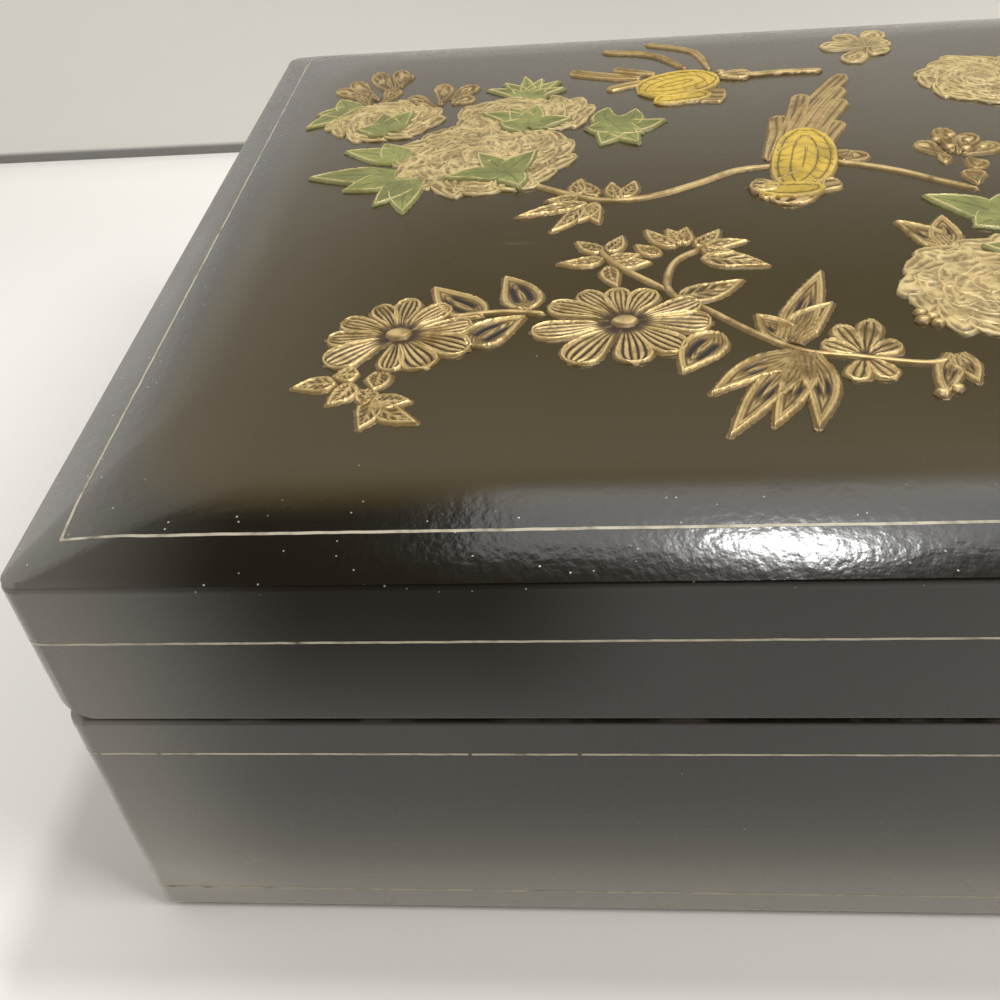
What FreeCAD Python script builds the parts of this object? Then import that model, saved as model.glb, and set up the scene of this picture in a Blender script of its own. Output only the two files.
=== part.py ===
"""Black lacquered jewellery box with a pillow-edged hinged lid and a concealed full-width drawer.

The front face looks along -Y, +Z is up, and the origin is at the middle of the underside.
All lengths are in millimetres.
"""
import FreeCAD
import Part
import math
import os

from FreeCAD import Vector

# Overall form
width = 305.0
depth = 224.0
crease_height = 92.0
seam_height = 60.5
lid_gap = 0.3
corner_radius = 3.2
edge_round = 1.0
foot_round = 1.6
overrun = 20.0
level_share = 1e-4
full_turn = 360

# Pillow of the lid: the edge curve and the slight crown that carries it to the middle
pillow_reach = 24.0
pillow_rise = 4.6
crown_reach_share = 0.33
crown_rise = 1.0
pillow_corner_growth_share = 0.9
pillow_edge_section_count = 4
pillow_crown_section_count = 1

# Raised ornament on the lid: plan places and widths are shares of the depth
relief_height = 0.7
least_relief_volume = 0.4
daisy_petal_count = 10
peony_petal_count = 8
petal_notch_share = 0.80
petal_shoulder_share = 0.28
leaf_belly_share = 0.42
daisy_shares = ((-0.438, -0.242, 0.061, 0.053), (-0.261, -0.240, 0.071, 0.055), (0.277, -0.277, 0.067, 0.060))
peony_shares = ((-0.509, 0.201, 0.064, 0.054), (-0.353, 0.196, 0.078, 0.053), (-0.393, 0.089, 0.096, 0.087),
                (0.045, -0.201, 0.083, 0.078), (0.143, 0.237, 0.064, 0.069), (0.411, 0.089, 0.096, 0.083),
                (0.500, -0.080, 0.069, 0.060), (0.034, 0.355, 0.036, 0.047), (-0.082, -0.286, 0.026, 0.034))
gilt_leaf_shares = (
    (0.036, (-0.371, -0.219), ((-0.416, -0.172),)),
    (0.036, (-0.335, -0.212), ((-0.356, -0.159),)),
    (0.036, (-0.380, -0.263), ((-0.337, -0.224),)),
    (0.036, (-0.184, -0.257), ((-0.217, -0.307),)),
    (0.022, (-0.462, -0.305), ((-0.512, -0.313), (-0.480, -0.337))),
    (0.022, (-0.446, -0.330), ((-0.452, -0.367), (-0.410, -0.361), (-0.417, -0.337))),
    (0.040, (-0.135, -0.270), ((-0.154, -0.232), (-0.094, -0.168), (-0.093, -0.219))),
    (0.040, (-0.123, -0.287), ((-0.199, -0.336), (-0.190, -0.385), (-0.159, -0.379), (-0.129, -0.379))),
    (0.034, (0.018, -0.134), ((-0.016, -0.086), (0.024, -0.079))),
    (0.027, (-0.018, -0.295), ((-0.038, -0.346), (-0.011, -0.330))),
    (0.038, (0.232, -0.179), ((0.188, -0.134), (0.232, -0.107), (0.277, -0.143))))
green_leaf_shares = (
    (0.036, (-0.475, 0.094), ((-0.540, 0.121), (-0.500, 0.134))),
    (0.039, (-0.478, 0.054), ((-0.568, 0.061), (-0.527, 0.027))),
    (0.036, (-0.464, 0.045), ((-0.462, -0.028), (-0.491, -0.009))),
    (0.034, (-0.547, 0.232), ((-0.598, 0.196), (-0.592, 0.234), (-0.571, 0.272))),
    (0.023, (-0.351, 0.237),
     ((-0.398, 0.275), (-0.379, 0.292), (-0.356, 0.312), (-0.336, 0.301), (-0.310, 0.266))),
    (0.033, (-0.256, 0.152), ((-0.231, 0.196), (-0.202, 0.163), (-0.227, 0.131), (-0.232, 0.105),
                              (-0.271, 0.106), (-0.286, 0.148), (-0.261, 0.200))),
    (0.038, (0.076, -0.085), ((0.019, -0.040), (0.047, -0.101), (0.110, -0.036))),
    (0.038, (0.330, 0.054), ((0.259, 0.036), (0.268, 0.089), (0.304, -0.018))),
    (0.038, (0.446, 0.152), ((0.438, 0.223), (0.500, 0.205), (0.536, 0.152))),
    (0.032, (0.446, 0.009), ((0.411, -0.036), (0.482, -0.018))))
bird_shares = (
    (0.075, (-0.141, 0.299), ((-0.223, 0.228),)),
    (0.058, (-0.152, 0.268), ((-0.172, 0.198),)),
    (0.036, (-0.196, 0.268), ((-0.224, 0.212),)),
    (0.027, (-0.152, 0.277), ((-0.112, 0.302),)),
    (0.018, (-0.223, 0.290), ((-0.303, 0.319), (-0.253, 0.320), (-0.261, 0.257))),
    (0.065, (-0.118, -0.013), ((-0.076, 0.123),)),
    (0.055, (-0.085, 0.040), ((-0.110, -0.024),)),
    (0.021, (-0.112, -0.004), ((-0.121, -0.038),)),
    (0.024, (-0.085, 0.062),
     ((0.002, 0.266), (-0.009, 0.228), (-0.013, 0.194), (-0.026, 0.137), (-0.052, 0.213),
                              (-0.083, 0.156))))
stem_shares = (
    (0.012, ((-0.121, 0.284), (-0.070, 0.294), (-0.020, 0.288))),
    (0.012, ((-0.170, 0.312), (-0.205, 0.362), (-0.263, 0.386))),
    (0.011, ((-0.143, 0.308), (-0.160, 0.374), (-0.211, 0.406))),
    (0.010, ((-0.350, 0.029), (-0.300, -0.006), (-0.268, -0.021), (-0.226, -0.016), (-0.180, 0.008),
             (-0.107, 0.038))),
    (0.010, ((-0.045, 0.041), (0.009, 0.015), (0.040, -0.009), (0.069, -0.030))),
    (0.008, ((-0.402, -0.221), (-0.357, -0.215), (-0.321, -0.220))),
    (0.008, ((-0.196, -0.214), (-0.163, -0.253), (-0.127, -0.283), (-0.045, -0.304), (-0.020, -0.302))),
    (0.007, ((-0.212, -0.205), (-0.221, -0.180), (-0.212, -0.143), (-0.188, -0.121))),
    (0.007, ((-0.223, -0.188), (-0.259, -0.147), (-0.277, -0.116))),
    (0.008, ((0.125, -0.214), (0.179, -0.232), (0.223, -0.250))),
    (0.010, ((0.125, -0.054), (0.196, -0.009), (0.268, 0.027), (0.330, 0.054))),
    (0.008, ((0.339, -0.268), (0.402, -0.223), (0.455, -0.143))),
    (0.008, ((0.196, 0.268), (0.268, 0.295), (0.339, 0.268), (0.393, 0.196))))
spray_shares = (
    (0.017, (-0.272, -0.127), ((-0.296, -0.102), (-0.254, -0.093), (-0.312, -0.139), (-0.235, -0.135),
                               (-0.262, -0.181))),
    (0.017, (-0.196, -0.121), ((-0.234, -0.084), (-0.215, -0.085), (-0.197, -0.082), (-0.169, -0.088),
                               (-0.146, -0.111), (-0.159, -0.131))),
    (0.026, (-0.188, -0.138), ((-0.134, -0.155),)),
    (0.026, (-0.212, -0.202), ((-0.158, -0.178),)),
    (0.018, (-0.281, -0.018), ((-0.290, 0.028), (-0.262, 0.017), (-0.239, 0.018), (-0.325, -0.018),
                               (-0.352, -0.049), (-0.319, -0.080), (-0.275, -0.067))),
    (0.023, (-0.510, 0.280), ((-0.538, 0.355), (-0.511, 0.358), (-0.579, 0.306), (-0.562, 0.329))),
    (0.023, (-0.446, 0.245), ((-0.487, 0.270), (-0.454, 0.302), (-0.412, 0.293))),
    (0.021, (0.067, 0.045), ((0.042, 0.079), (0.067, 0.107), (0.096, 0.089), (0.112, 0.065), (0.087, 0.015))),
    (0.021, (0.330, 0.277), ((0.268, 0.339), (0.330, 0.339), (0.411, 0.295))),
    (0.021, (0.402, -0.223), ((0.455, -0.259), (0.393, -0.304), (0.491, -0.205))))

# Walls and panels
side_wall = 8.0
back_wall = 11.0
drawer_front_thickness = 9.0
inner_front_thickness = 6.0
lid_wall = 7.0
lid_back_wall = 10.0
lid_panel_height = 8.0
lid_panel_step = 2.0
felt_thickness = 1.0
felt_inset = 3.5
bottom_thickness = 4.0
bottom_rebate = 4.0
floor_thickness = 3.0
floor_height = 35.5
groove_depth = 3.0

# Linings, dividers and ring rolls of the upper compartment
liner_thickness = 2.0
liner_lip = 3.0
liner_round = 0.8
divider_round = 1.4
lining_thickness = 1.2
divider_thickness = 4.0
divider_height = 17.0
ring_section_width = 100.0
ring_section_depth = 86.0
right_divider_share = 0.58
ring_roll_width = 13.4
ring_roll_height = 14.0
ring_roll_gap = 0.5
notch_radius = 12.0

# Drawer
drawer_side_gap = 0.6
drawer_back_gap = 1.5
front_gap = 0.3
runner_height = 1.5
runner_width = 9.0
slide_gap = 0.3
drawer_side_thickness = 5.0
drawer_side_height = 24.2
drawer_back_height = 28.0
drawer_bottom_thickness = 3.0
drawer_bottom_raise = 2.7
drawer_groove_depth = 2.5
drawer_housing_depth = 4.0
drawer_side_round = 1.2
drawer_divider_thickness = 4.0
drawer_divider_height = 13.0
stop_width = 12.0
stop_length = 14.0
stop_gap = 0.6
stop_setback = 30.6

# Drawer lock pin
pin_radius = 2.0
pin_clearance = 0.05
pin_travel = 8.0
pin_side_offset = 34.0
pin_back_gap = 1.2
bush_radius = 3.6
bush_flange_radius = 6.0
bush_flange_thickness = 1.0
knob_radius = 5.0
knob_height = 8.5
knob_neck_radius = 2.9
knob_socket = 4.0
knob_gap = 0.3

# Mirror in the lid
mirror_side_margin = 27.5
mirror_end_margin = 27.0
mirror_thickness = 2.0
mirror_frame_width = 11.0
mirror_frame_height = 4.2
mirror_frame_lap = 3.0
mirror_frame_lip = 1.0
mirror_fit = 0.2

# Hinges, with the bevels that stop the lid
hinge_length = 34.0
hinge_inset = 46.0
hinge_axis_inset = 3.4
hinge_leaf_margin = 0.2
hinge_leaf_thickness = 1.1
hinge_leaf_gap = 0.1
knuckle_radius = 2.0
knuckle_count = 3
knuckle_gap = 0.2
hinge_pin_radius = 0.9
hinge_pin_clearance = 0.05
hinge_relief = 0.35
bevel_angle = 48.0
screw_head_radius = 1.35
screw_head_height = 0.75
screw_shank_radius = 0.7
screw_length = 6.5
screw_clearance = 0.05
screw_slot_width = 0.35
screw_slot_depth = 0.3
screw_shank_side_count = 6
leaf_screw_count = 2

# Places worked out from the sizes above
left = -width / 2
right = width / 2
front = -depth / 2
back = depth / 2
base_foot = felt_thickness
lid_foot = seam_height + lid_gap
panel_foot = crease_height - lid_panel_height
inside_left = left + side_wall
inside_right = right - side_wall
inside_back = back - back_wall
wall_front = front + drawer_front_thickness + front_gap
inner_front_back = wall_front + inner_front_thickness
tray_left = inside_left + liner_thickness
tray_right = inside_right - liner_thickness
tray_front = inner_front_back + liner_thickness
tray_back = inside_back - liner_thickness
tray_floor = floor_height + floor_thickness + lining_thickness
liner_top = seam_height + liner_lip
crown_reach = depth * crown_reach_share
axis_y = back - hinge_axis_inset
axis_z = seam_height + lid_gap / 2
leaf_edge = back - min(back_wall, lid_back_wall) + hinge_leaf_margin
plate_edge = axis_y - knuckle_radius - hinge_relief
drawer_foot = base_foot + bottom_thickness + runner_height + slide_gap
drawer_left = inside_left + drawer_side_gap
drawer_right = inside_right - drawer_side_gap
drawer_back = inside_back - drawer_back_gap
drawer_back_face = drawer_back - drawer_side_thickness
drawer_front_face = front + drawer_front_thickness
stop_front = inner_front_back + stop_setback
drawer_travel = drawer_back_face - stop_front - stop_length - stop_gap
drawer_floor = drawer_foot + drawer_bottom_raise
pin_x = inside_right - pin_side_offset
pin_y = drawer_back_face - pin_back_gap - pin_radius
knob_foot = tray_floor + bush_flange_thickness + pin_travel + knob_gap


def block(x0, x1, y0, y1, z0, z1):
    """A box between two corners."""
    return Part.makeBox(x1 - x0, y1 - y0, z1 - z0, Vector(x0, y0, z0))


def upright_cylinder(x, y, z0, z1, radius):
    """A cylinder along Z."""
    return Part.makeCylinder(radius, z1 - z0, Vector(x, y, z0))


def bar_along_x(x0, x1, y, z, radius):
    """A cylinder along X."""
    return Part.makeCylinder(radius, x1 - x0, Vector(x0, y, z), Vector(1, 0, 0))


def prism(points, direction):
    """A closed outline of points, extruded along a direction."""
    outline = Part.makePolygon(points + points[:1])
    return Part.Face(outline).extrude(direction)


def rounded_outline(inset, radius, z):
    """A wire round the plan of the box, drawn in by the inset, with round corners."""
    x1 = right - inset
    y1 = back - inset
    slack = radius * (1 - math.sqrt(0.5))
    edges = []
    for sign_x, sign_y in ((1, 1), (-1, 1), (-1, -1), (1, -1)):
        corner_on_side = Vector(sign_x * x1, sign_y * (y1 - radius), z)
        corner_middle = Vector(sign_x * (x1 - slack), sign_y * (y1 - slack), z)
        corner_on_end = Vector(sign_x * (x1 - radius), sign_y * y1, z)
        forward = sign_x * sign_y > 0
        start = corner_on_side if forward else corner_on_end
        finish = corner_on_end if forward else corner_on_side
        if edges:
            edges.append(Part.LineSegment(last_point, start).toShape())
        else:
            first_point = start
        edges.append(Part.Arc(start, corner_middle, finish).toShape())
        last_point = finish
    edges.append(Part.LineSegment(last_point, first_point).toShape())
    return Part.Wire(edges)


def rounded_block(z0, z1):
    """The plan of the box with round corners, extruded from one height to another."""
    face = Part.Face(rounded_outline(0, corner_radius, z0))
    return face.extrude(Vector(0, 0, z1 - z0))


def round_level_edges(solid, z, radius):
    """Rounds all the edges that lie at one height."""
    return round_long_edges(solid, z, radius, 0)


def round_long_edges(solid, z, radius, shortest):
    """Rounds the edges at one height that are longer than a given length."""
    tolerance = radius * level_share
    chosen = [edge for edge in solid.Edges if edge.Length > shortest
              and abs(edge.BoundBox.ZMin - z) < tolerance and abs(edge.BoundBox.ZMax - z) < tolerance]
    return solid.makeFillet(radius, chosen)


def mitre_wedge(side, wall, z0, z1, square_front=False):
    """The region that one wall of a mitred frame takes, from its corners inwards."""
    reach = wall + corner_radius
    signs = {"front": -1, "back": 1, "left": -1, "right": 1}
    sign = signs[side]
    if side in ("front", "back"):
        outer_y = sign * (back + reach)
        inner_y = sign * (back - reach)
        corners = [(left - reach, outer_y), (right + reach, outer_y),
                   (right - reach, inner_y), (left + reach, inner_y)]
    else:
        outer_x = sign * (right + reach)
        inner_x = sign * (right - reach)
        low_outer = front - reach
        low_inner = low_outer if square_front else front + reach
        corners = [(outer_x, low_outer), (outer_x, back + reach),
                   (inner_x, back - reach), (inner_x, low_inner)]
    points = [Vector(x, y, z0) for x, y in corners]
    return prism(points, Vector(0, 0, z1 - z0))


def back_bevel(upwards):
    """The wedge cut from the back edge at the seam, which stops the open lid."""
    sign = 1 if upwards else -1
    run = hinge_axis_inset + overrun
    rise = sign * run * math.tan(math.radians(bevel_angle))
    points = [Vector(left - overrun, axis_y, axis_z),
              Vector(left - overrun, axis_y + run, axis_z),
              Vector(left - overrun, axis_y + run, axis_z + rise)]
    return prism(points, Vector(width + 2 * overrun, 0, 0))


def hinge_starts():
    """The left end of each hinge."""
    return (left + hinge_inset, right - hinge_inset - hinge_length)


def screw_places(start):
    """Where the screws of one leaf stand."""
    pitch = hinge_length / leaf_screw_count
    y = (leaf_edge + plate_edge) / 2
    return [(start + pitch * (number + 0.5), y) for number in range(leaf_screw_count)]


def leaf_plate_heights(upwards):
    """The heights of one leaf's plate, above or below the seam."""
    if upwards:
        return axis_z + hinge_leaf_gap, axis_z + hinge_leaf_gap + hinge_leaf_thickness
    return axis_z - hinge_leaf_gap - hinge_leaf_thickness, axis_z - hinge_leaf_gap


def screw_shank(x, y, foot, away, clearance):
    """The shank of a screw, or its hole: flat sides stand for the thread."""
    radius = screw_shank_radius + clearance
    corners = []
    for side in range(screw_shank_side_count):
        angle = 2 * math.pi * side / screw_shank_side_count
        corners.append(Vector(x + radius * math.cos(angle), y + radius * math.sin(angle), foot))
    return prism(corners, away * (screw_length + clearance))


def screw(x, y, upwards):
    """A screw with a sunk slotted head, flush with its leaf."""
    low, high = leaf_plate_heights(upwards)
    head_face = low if upwards else high
    away = Vector(0, 0, 1 if upwards else -1)
    head = Part.makeCylinder(screw_head_radius, screw_head_height, Vector(x, y, head_face), away)
    shank = screw_shank(x, y, head_face, away, 0)
    body = head.fuse(shank)
    slot_half = screw_slot_width / 2
    slot_low = head_face - screw_slot_depth
    slot_high = head_face + screw_slot_depth
    slot = block(x - screw_head_radius, x + screw_head_radius, y - slot_half, y + slot_half, slot_low,
                 slot_high)
    return body.cut(slot)


def screw_hole(x, y, upwards):
    """The stepped hole for a screw through its leaf."""
    low, high = leaf_plate_heights(upwards)
    head_face = low if upwards else high
    away = Vector(0, 0, 1 if upwards else -1)
    sink = Part.makeCylinder(screw_head_radius + screw_clearance, screw_head_height, Vector(x, y, head_face),
                             away)
    return sink.fuse(screw_shank(x, y, head_face, away, screw_clearance))


def pilot_hole(x, y, upwards):
    """The plain hole for a screw in the wood behind its leaf."""
    low, high = leaf_plate_heights(upwards)
    away = Vector(0, 0, 1 if upwards else -1)
    return screw_shank(x, y, low if upwards else high, away, screw_clearance)


def cut_for_hinges(wall, upwards):
    """Lets the hinge leaves, knuckles and screws into a back wall."""
    low, high = leaf_plate_heights(upwards)
    for start in hinge_starts():
        end = start + hinge_length
        relief = bar_along_x(start - knuckle_gap, end + knuckle_gap, axis_y, axis_z,
                             knuckle_radius + hinge_relief)
        gain = block(start, end, leaf_edge, axis_y, low, high)
        wall = wall.cut(relief).cut(gain)
        for x, y in screw_places(start):
            wall = wall.cut(pilot_hole(x, y, upwards))
    return wall


def base_shell():
    """The outside of the base, solid, with its round edges and the bevel at the back."""
    solid = rounded_block(base_foot, seam_height)
    solid = round_level_edges(solid, seam_height, edge_round)
    solid = round_level_edges(solid, base_foot, foot_round)
    return solid.cut(back_bevel(False))


def bottom_space():
    """The space of the bottom panel, in rebates of the side and back walls."""
    return block(inside_left - bottom_rebate, inside_right + bottom_rebate, wall_front,
                 inside_back + bottom_rebate,
                 base_foot, base_foot + bottom_thickness)


def floor_space():
    """The space of the compartment floor, in grooves of the walls round it."""
    return block(inside_left - groove_depth, inside_right + groove_depth, inner_front_back - groove_depth,
                 inside_back + groove_depth, floor_height, floor_height + floor_thickness)


def inner_front_space():
    """The space of the inner front wall, housed in the side walls."""
    return block(inside_left - groove_depth, inside_right + groove_depth, wall_front, inner_front_back,
                 floor_height - groove_depth / 2, seam_height)


def finger_notch():
    """The half-round notch behind the top edge of the drawer front."""
    return Part.makeCylinder(notch_radius, inner_front_thickness + liner_thickness + 2 * overrun,
                             Vector(0, wall_front - overrun, liner_top), Vector(0, 1, 0))


def base_walls():
    """The left, right and back walls of the base, mitred at the back corners."""
    shell = base_shell()
    ring = shell.cut(block(inside_left, inside_right, front - overrun, inside_back,
                           base_foot - overrun, seam_height + overrun))
    ring = ring.cut(block(left - overrun, right + overrun, front - overrun, wall_front,
                          base_foot - overrun, seam_height + overrun))
    for space in (bottom_space(), floor_space(), inner_front_space()):
        ring = ring.cut(space)
    walls = {}
    for side in ("left", "right"):
        wedge = mitre_wedge(side, back_wall, base_foot - overrun, seam_height + overrun, square_front=True)
        walls["base_" + side + "_side"] = ring.common(wedge)
    wedge = mitre_wedge("back", back_wall, base_foot - overrun, seam_height + overrun)
    walls["base_back"] = cut_for_hinges(ring.common(wedge), False)
    return walls


def base_inner_pieces():
    """The panels, runners, stops and felt inside and under the base."""
    pieces = {}
    pieces["felt_pad"] = block(left + felt_inset, right - felt_inset, wall_front + felt_inset,
                               back - felt_inset,
                               0, felt_thickness)
    pieces["base_bottom"] = bottom_space()
    floor = floor_space()
    floor = floor.cut(upright_cylinder(pin_x, pin_y, floor_height - overrun, floor_height + overrun,
                                       bush_radius))
    pieces["compartment_floor"] = floor
    wall = inner_front_space().cut(floor_space()).cut(finger_notch())
    pieces["inner_front_wall"] = wall
    runner_foot = base_foot + bottom_thickness
    for side, x0 in (("left", inside_left), ("right", inside_right - runner_width)):
        pieces["drawer_runner_" + side] = block(x0, x0 + runner_width, wall_front, inside_back,
                                                runner_foot, runner_foot + runner_height)
    stop_foot = drawer_foot + drawer_side_height + stop_gap
    stops = []
    for x0 in (inside_left + stop_width, inside_right - 2 * stop_width):
        stops.append(block(x0, x0 + stop_width, stop_front, stop_front + stop_length, stop_foot,
                           floor_height))
    pieces["drawer_stops"] = Part.makeCompound(stops)
    return pieces


def compartment_linings():
    """The velvet-covered boards that line the upper compartment and stand proud to guide the lid."""
    foot = floor_height + floor_thickness
    pieces = {}
    pieces["compartment_liner_left"] = block(inside_left, tray_left, inner_front_back, inside_back, foot,
                                             liner_top)
    pieces["compartment_liner_right"] = block(tray_right, inside_right, inner_front_back, inside_back,
                                              foot, liner_top)
    pieces["compartment_liner_back"] = block(tray_left, tray_right, tray_back, inside_back, foot, liner_top)
    front_liner = block(tray_left, tray_right, inner_front_back, tray_front, foot, liner_top)
    pieces["compartment_liner_front"] = front_liner
    for name, liner in pieces.items():
        pieces[name] = round_long_edges(liner, liner_top, liner_round, 2 * liner_thickness)
    pieces["compartment_liner_front"] = pieces["compartment_liner_front"].cut(finger_notch())
    lining = block(tray_left, tray_right, tray_front, tray_back, foot, tray_floor)
    hole = upright_cylinder(pin_x, pin_y, foot - overrun, tray_floor + overrun, bush_radius)
    pieces["compartment_floor_lining"] = lining.cut(hole)
    return pieces


def tray_dividers():
    """The three boards that divide the upper compartment."""
    top = tray_floor + divider_height
    long_x = tray_left + ring_section_width
    cross_y = tray_front + ring_section_depth
    right_y = tray_front + (tray_back - tray_front) * right_divider_share
    pieces = {}
    pieces["tray_divider_long"] = block(long_x, long_x + divider_thickness, tray_front, tray_back, tray_floor,
                                        top)
    pieces["tray_divider_left"] = block(tray_left, long_x, cross_y, cross_y + divider_thickness, tray_floor,
                                        top)
    pieces["tray_divider_right"] = block(long_x + divider_thickness, tray_right, right_y,
                                         right_y + divider_thickness, tray_floor, top)
    for name, divider in pieces.items():
        pieces[name] = round_long_edges(divider, top, divider_round, 2 * divider_thickness)
    return pieces


def ring_rolls():
    """The row of round-topped rolls that hold rings, side by side in their section."""
    pitch = ring_roll_width + ring_roll_gap
    count = int((ring_section_depth - ring_roll_gap) / pitch)
    spare = ring_section_depth - count * pitch + ring_roll_gap
    radius = ring_roll_width / 2
    rolls = []
    for number in range(count):
        y0 = tray_front + spare / 2 + number * pitch
        shoulder = tray_floor + ring_roll_height - radius
        x0 = tray_left + ring_roll_gap
        x1 = tray_left + ring_section_width - ring_roll_gap
        foot = block(x0, x1, y0, y0 + ring_roll_width, tray_floor, shoulder)
        crown = bar_along_x(x0, x1, y0 + radius, shoulder, radius)
        rolls.append(foot.fuse(crown).removeSplitter())
    return Part.makeCompound(rolls)


def drawer_bottom_space():
    """The space of the drawer bottom, in grooves of the four drawer walls."""
    inner = drawer_side_thickness - drawer_groove_depth
    return block(drawer_left + inner, drawer_right - inner, drawer_front_face - drawer_groove_depth,
                 drawer_back - inner, drawer_floor, drawer_floor + drawer_bottom_thickness)


def drawer_side_space(side):
    """One drawer side, housed in the back of the drawer front."""
    x0 = drawer_left if side == "left" else drawer_right - drawer_side_thickness
    return block(x0, x0 + drawer_side_thickness, drawer_front_face - drawer_housing_depth, drawer_back,
                 drawer_foot, drawer_foot + drawer_side_height)


def drawer_back_space():
    """The drawer back, housed between the sides and taller than them to meet the stops."""
    inner = drawer_side_thickness - drawer_groove_depth
    low = block(drawer_left + inner, drawer_right - inner, drawer_back_face, drawer_back,
                drawer_foot, drawer_foot + drawer_side_height)
    high = block(drawer_left + drawer_side_thickness, drawer_right - drawer_side_thickness, drawer_back_face,
                 drawer_back, drawer_foot + drawer_side_height, drawer_foot + drawer_back_height)
    return low.fuse(high).removeSplitter()


def drawer_pieces():
    """The concealed drawer, whose front is the whole front face of the base."""
    pieces = {}
    shell_front = base_shell().common(block(left - overrun, right + overrun, front - overrun,
                                            drawer_front_face,
                                            base_foot, seam_height))
    bottom = drawer_bottom_space()
    back_panel = drawer_back_space()
    for side in ("left", "right"):
        space = drawer_side_space(side)
        shell_front = shell_front.cut(space)
        soft_side = round_long_edges(space, drawer_foot + drawer_side_height, drawer_side_round,
                                     2 * drawer_side_thickness)
        pieces["drawer_" + side + "_side"] = soft_side.cut(bottom).cut(back_panel)
    pieces["drawer_front"] = shell_front.cut(bottom)
    pieces["drawer_back"] = back_panel.cut(bottom)
    pieces["drawer_bottom"] = bottom
    lining_foot = drawer_floor + drawer_bottom_thickness
    lining_top = lining_foot + lining_thickness
    inner_left = drawer_left + drawer_side_thickness
    inner_right = drawer_right - drawer_side_thickness
    pieces["drawer_lining"] = block(inner_left, inner_right, drawer_front_face, drawer_back_face,
                                    lining_foot, lining_top)
    half = drawer_divider_thickness / 2
    divider_top = lining_top + drawer_divider_height
    divider = block(-half, half, drawer_front_face, drawer_back_face, lining_top, divider_top)
    pieces["drawer_divider"] = round_long_edges(divider, divider_top, divider_round,
                                                2 * drawer_divider_thickness)
    return pieces


def lock_pieces():
    """The bush in the compartment floor, and the pin with its turned knob, drawn clear of the drawer."""
    pieces = {}
    tube = upright_cylinder(pin_x, pin_y, floor_height, tray_floor, bush_radius)
    flange = upright_cylinder(pin_x, pin_y, tray_floor, tray_floor + bush_flange_thickness,
                              bush_flange_radius)
    bore = upright_cylinder(pin_x, pin_y, floor_height - overrun, tray_floor + overrun,
                            pin_radius + pin_clearance)
    pieces["pin_bush"] = tube.fuse(flange).removeSplitter().cut(bore)
    pieces["lock_pin"] = upright_cylinder(pin_x, pin_y, floor_height, knob_foot + knob_socket, pin_radius)
    pieces["lock_pin_knob"] = turned_knob().cut(pieces["lock_pin"])
    return pieces


def turned_knob():
    """A small turned knob with a neck under its head."""
    top = knob_foot + knob_height
    head_foot = (knob_foot + top) / 2
    turned = [(0, knob_foot), (knob_neck_radius, knob_foot), (knob_neck_radius, head_foot),
              (knob_radius, head_foot),
              (knob_radius, top), (0, top)]
    points = [Vector(pin_x + reach, pin_y, z) for reach, z in turned]
    outline = Part.makePolygon(points + points[:1])
    return Part.Face(outline).revolve(Vector(pin_x, pin_y, 0), Vector(0, 0, 1), full_turn)


def pillow_height(inset):
    """The height of the lid's top at an inset from its edge."""
    edge_share = 1 - min(inset, pillow_reach) / pillow_reach
    crown_share = 1 - min(inset, crown_reach) / crown_reach
    return crease_height + pillow_rise * (1 - edge_share ** 2) + crown_rise * (1 - crown_share ** 2)


def pillow_loft(start, end, count):
    """A stretch of the pillow between two insets, lofted through evenly spaced sections."""
    sections = []
    for number in range(count + 1):
        inset = start + (end - start) * number / count
        radius = corner_radius + min(inset, pillow_reach) * pillow_corner_growth_share
        sections.append(rounded_outline(inset, radius, pillow_height(inset)))
    return with_flat_faces(Part.makeLoft(sections, True, True))


def with_flat_faces(loft):
    """The loft with its flat faces made truly flat, so that later cuts on them stay simple."""
    faces = []
    for face in loft.Faces:
        plane = face.OuterWire.findPlane(level_share)
        faces.append(Part.Face(plane, face.OuterWire) if plane else face)
    return Part.makeSolid(Part.makeShell(faces))


def lid_top_panel():
    """The lid's top: an upright edge, then a pillow lofted to the crown, with a step for the rails."""
    panel = rounded_block(panel_foot, crease_height)
    edge = pillow_loft(0, pillow_reach, pillow_edge_section_count)
    crown = pillow_loft(pillow_reach, crown_reach, pillow_crown_section_count)
    step = block(left + lid_wall, right - lid_wall, front + lid_wall, back - lid_back_wall,
                 panel_foot - lid_panel_step, panel_foot)
    return panel.fuse(edge).fuse(crown).fuse(step)


def plan_point(share):
    """A place on the lid from its shares of the depth."""
    return Vector(share[0] * depth, share[1] * depth, crease_height)


def raised(corners):
    """A closed outline in plan as a prism that passes through the whole ornament."""
    return prism(corners, Vector(0, 0, pillow_rise + crown_rise + 2 * relief_height))


def flower_prism(petal_count, x_share, y_share, x_reach_share, y_reach_share):
    """A flower seen from above: blunt petal tips, with a notch between each two."""
    middle = plan_point((x_share, y_share))
    corners = []
    for petal in range(petal_count):
        for step, share in ((0, petal_notch_share), (petal_shoulder_share, 1), (1 - petal_shoulder_share, 1)):
            angle = 2 * math.pi * (petal + step) / petal_count
            reach = Vector(math.cos(angle) * x_reach_share, math.sin(angle) * y_reach_share, 0)
            corners.append(middle + reach * depth * share)
    return raised(corners)


def leaf_prism(root_share, tip_share, width_share):
    """A leaf with its widest part nearer the root."""
    root = plan_point(root_share)
    tip = plan_point(tip_share)
    ahead = tip - root
    sideways = Vector(-ahead.y, ahead.x, 0).normalize() * (width_share * depth / 2)
    belly = root + ahead * leaf_belly_share
    return raised([root, belly - sideways, tip, belly + sideways])


def leaf_prisms(groups):
    """Every lobe of every leaf."""
    return [leaf_prism(root, tip, width_share) for width_share, root, tips in groups for tip in tips]


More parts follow.
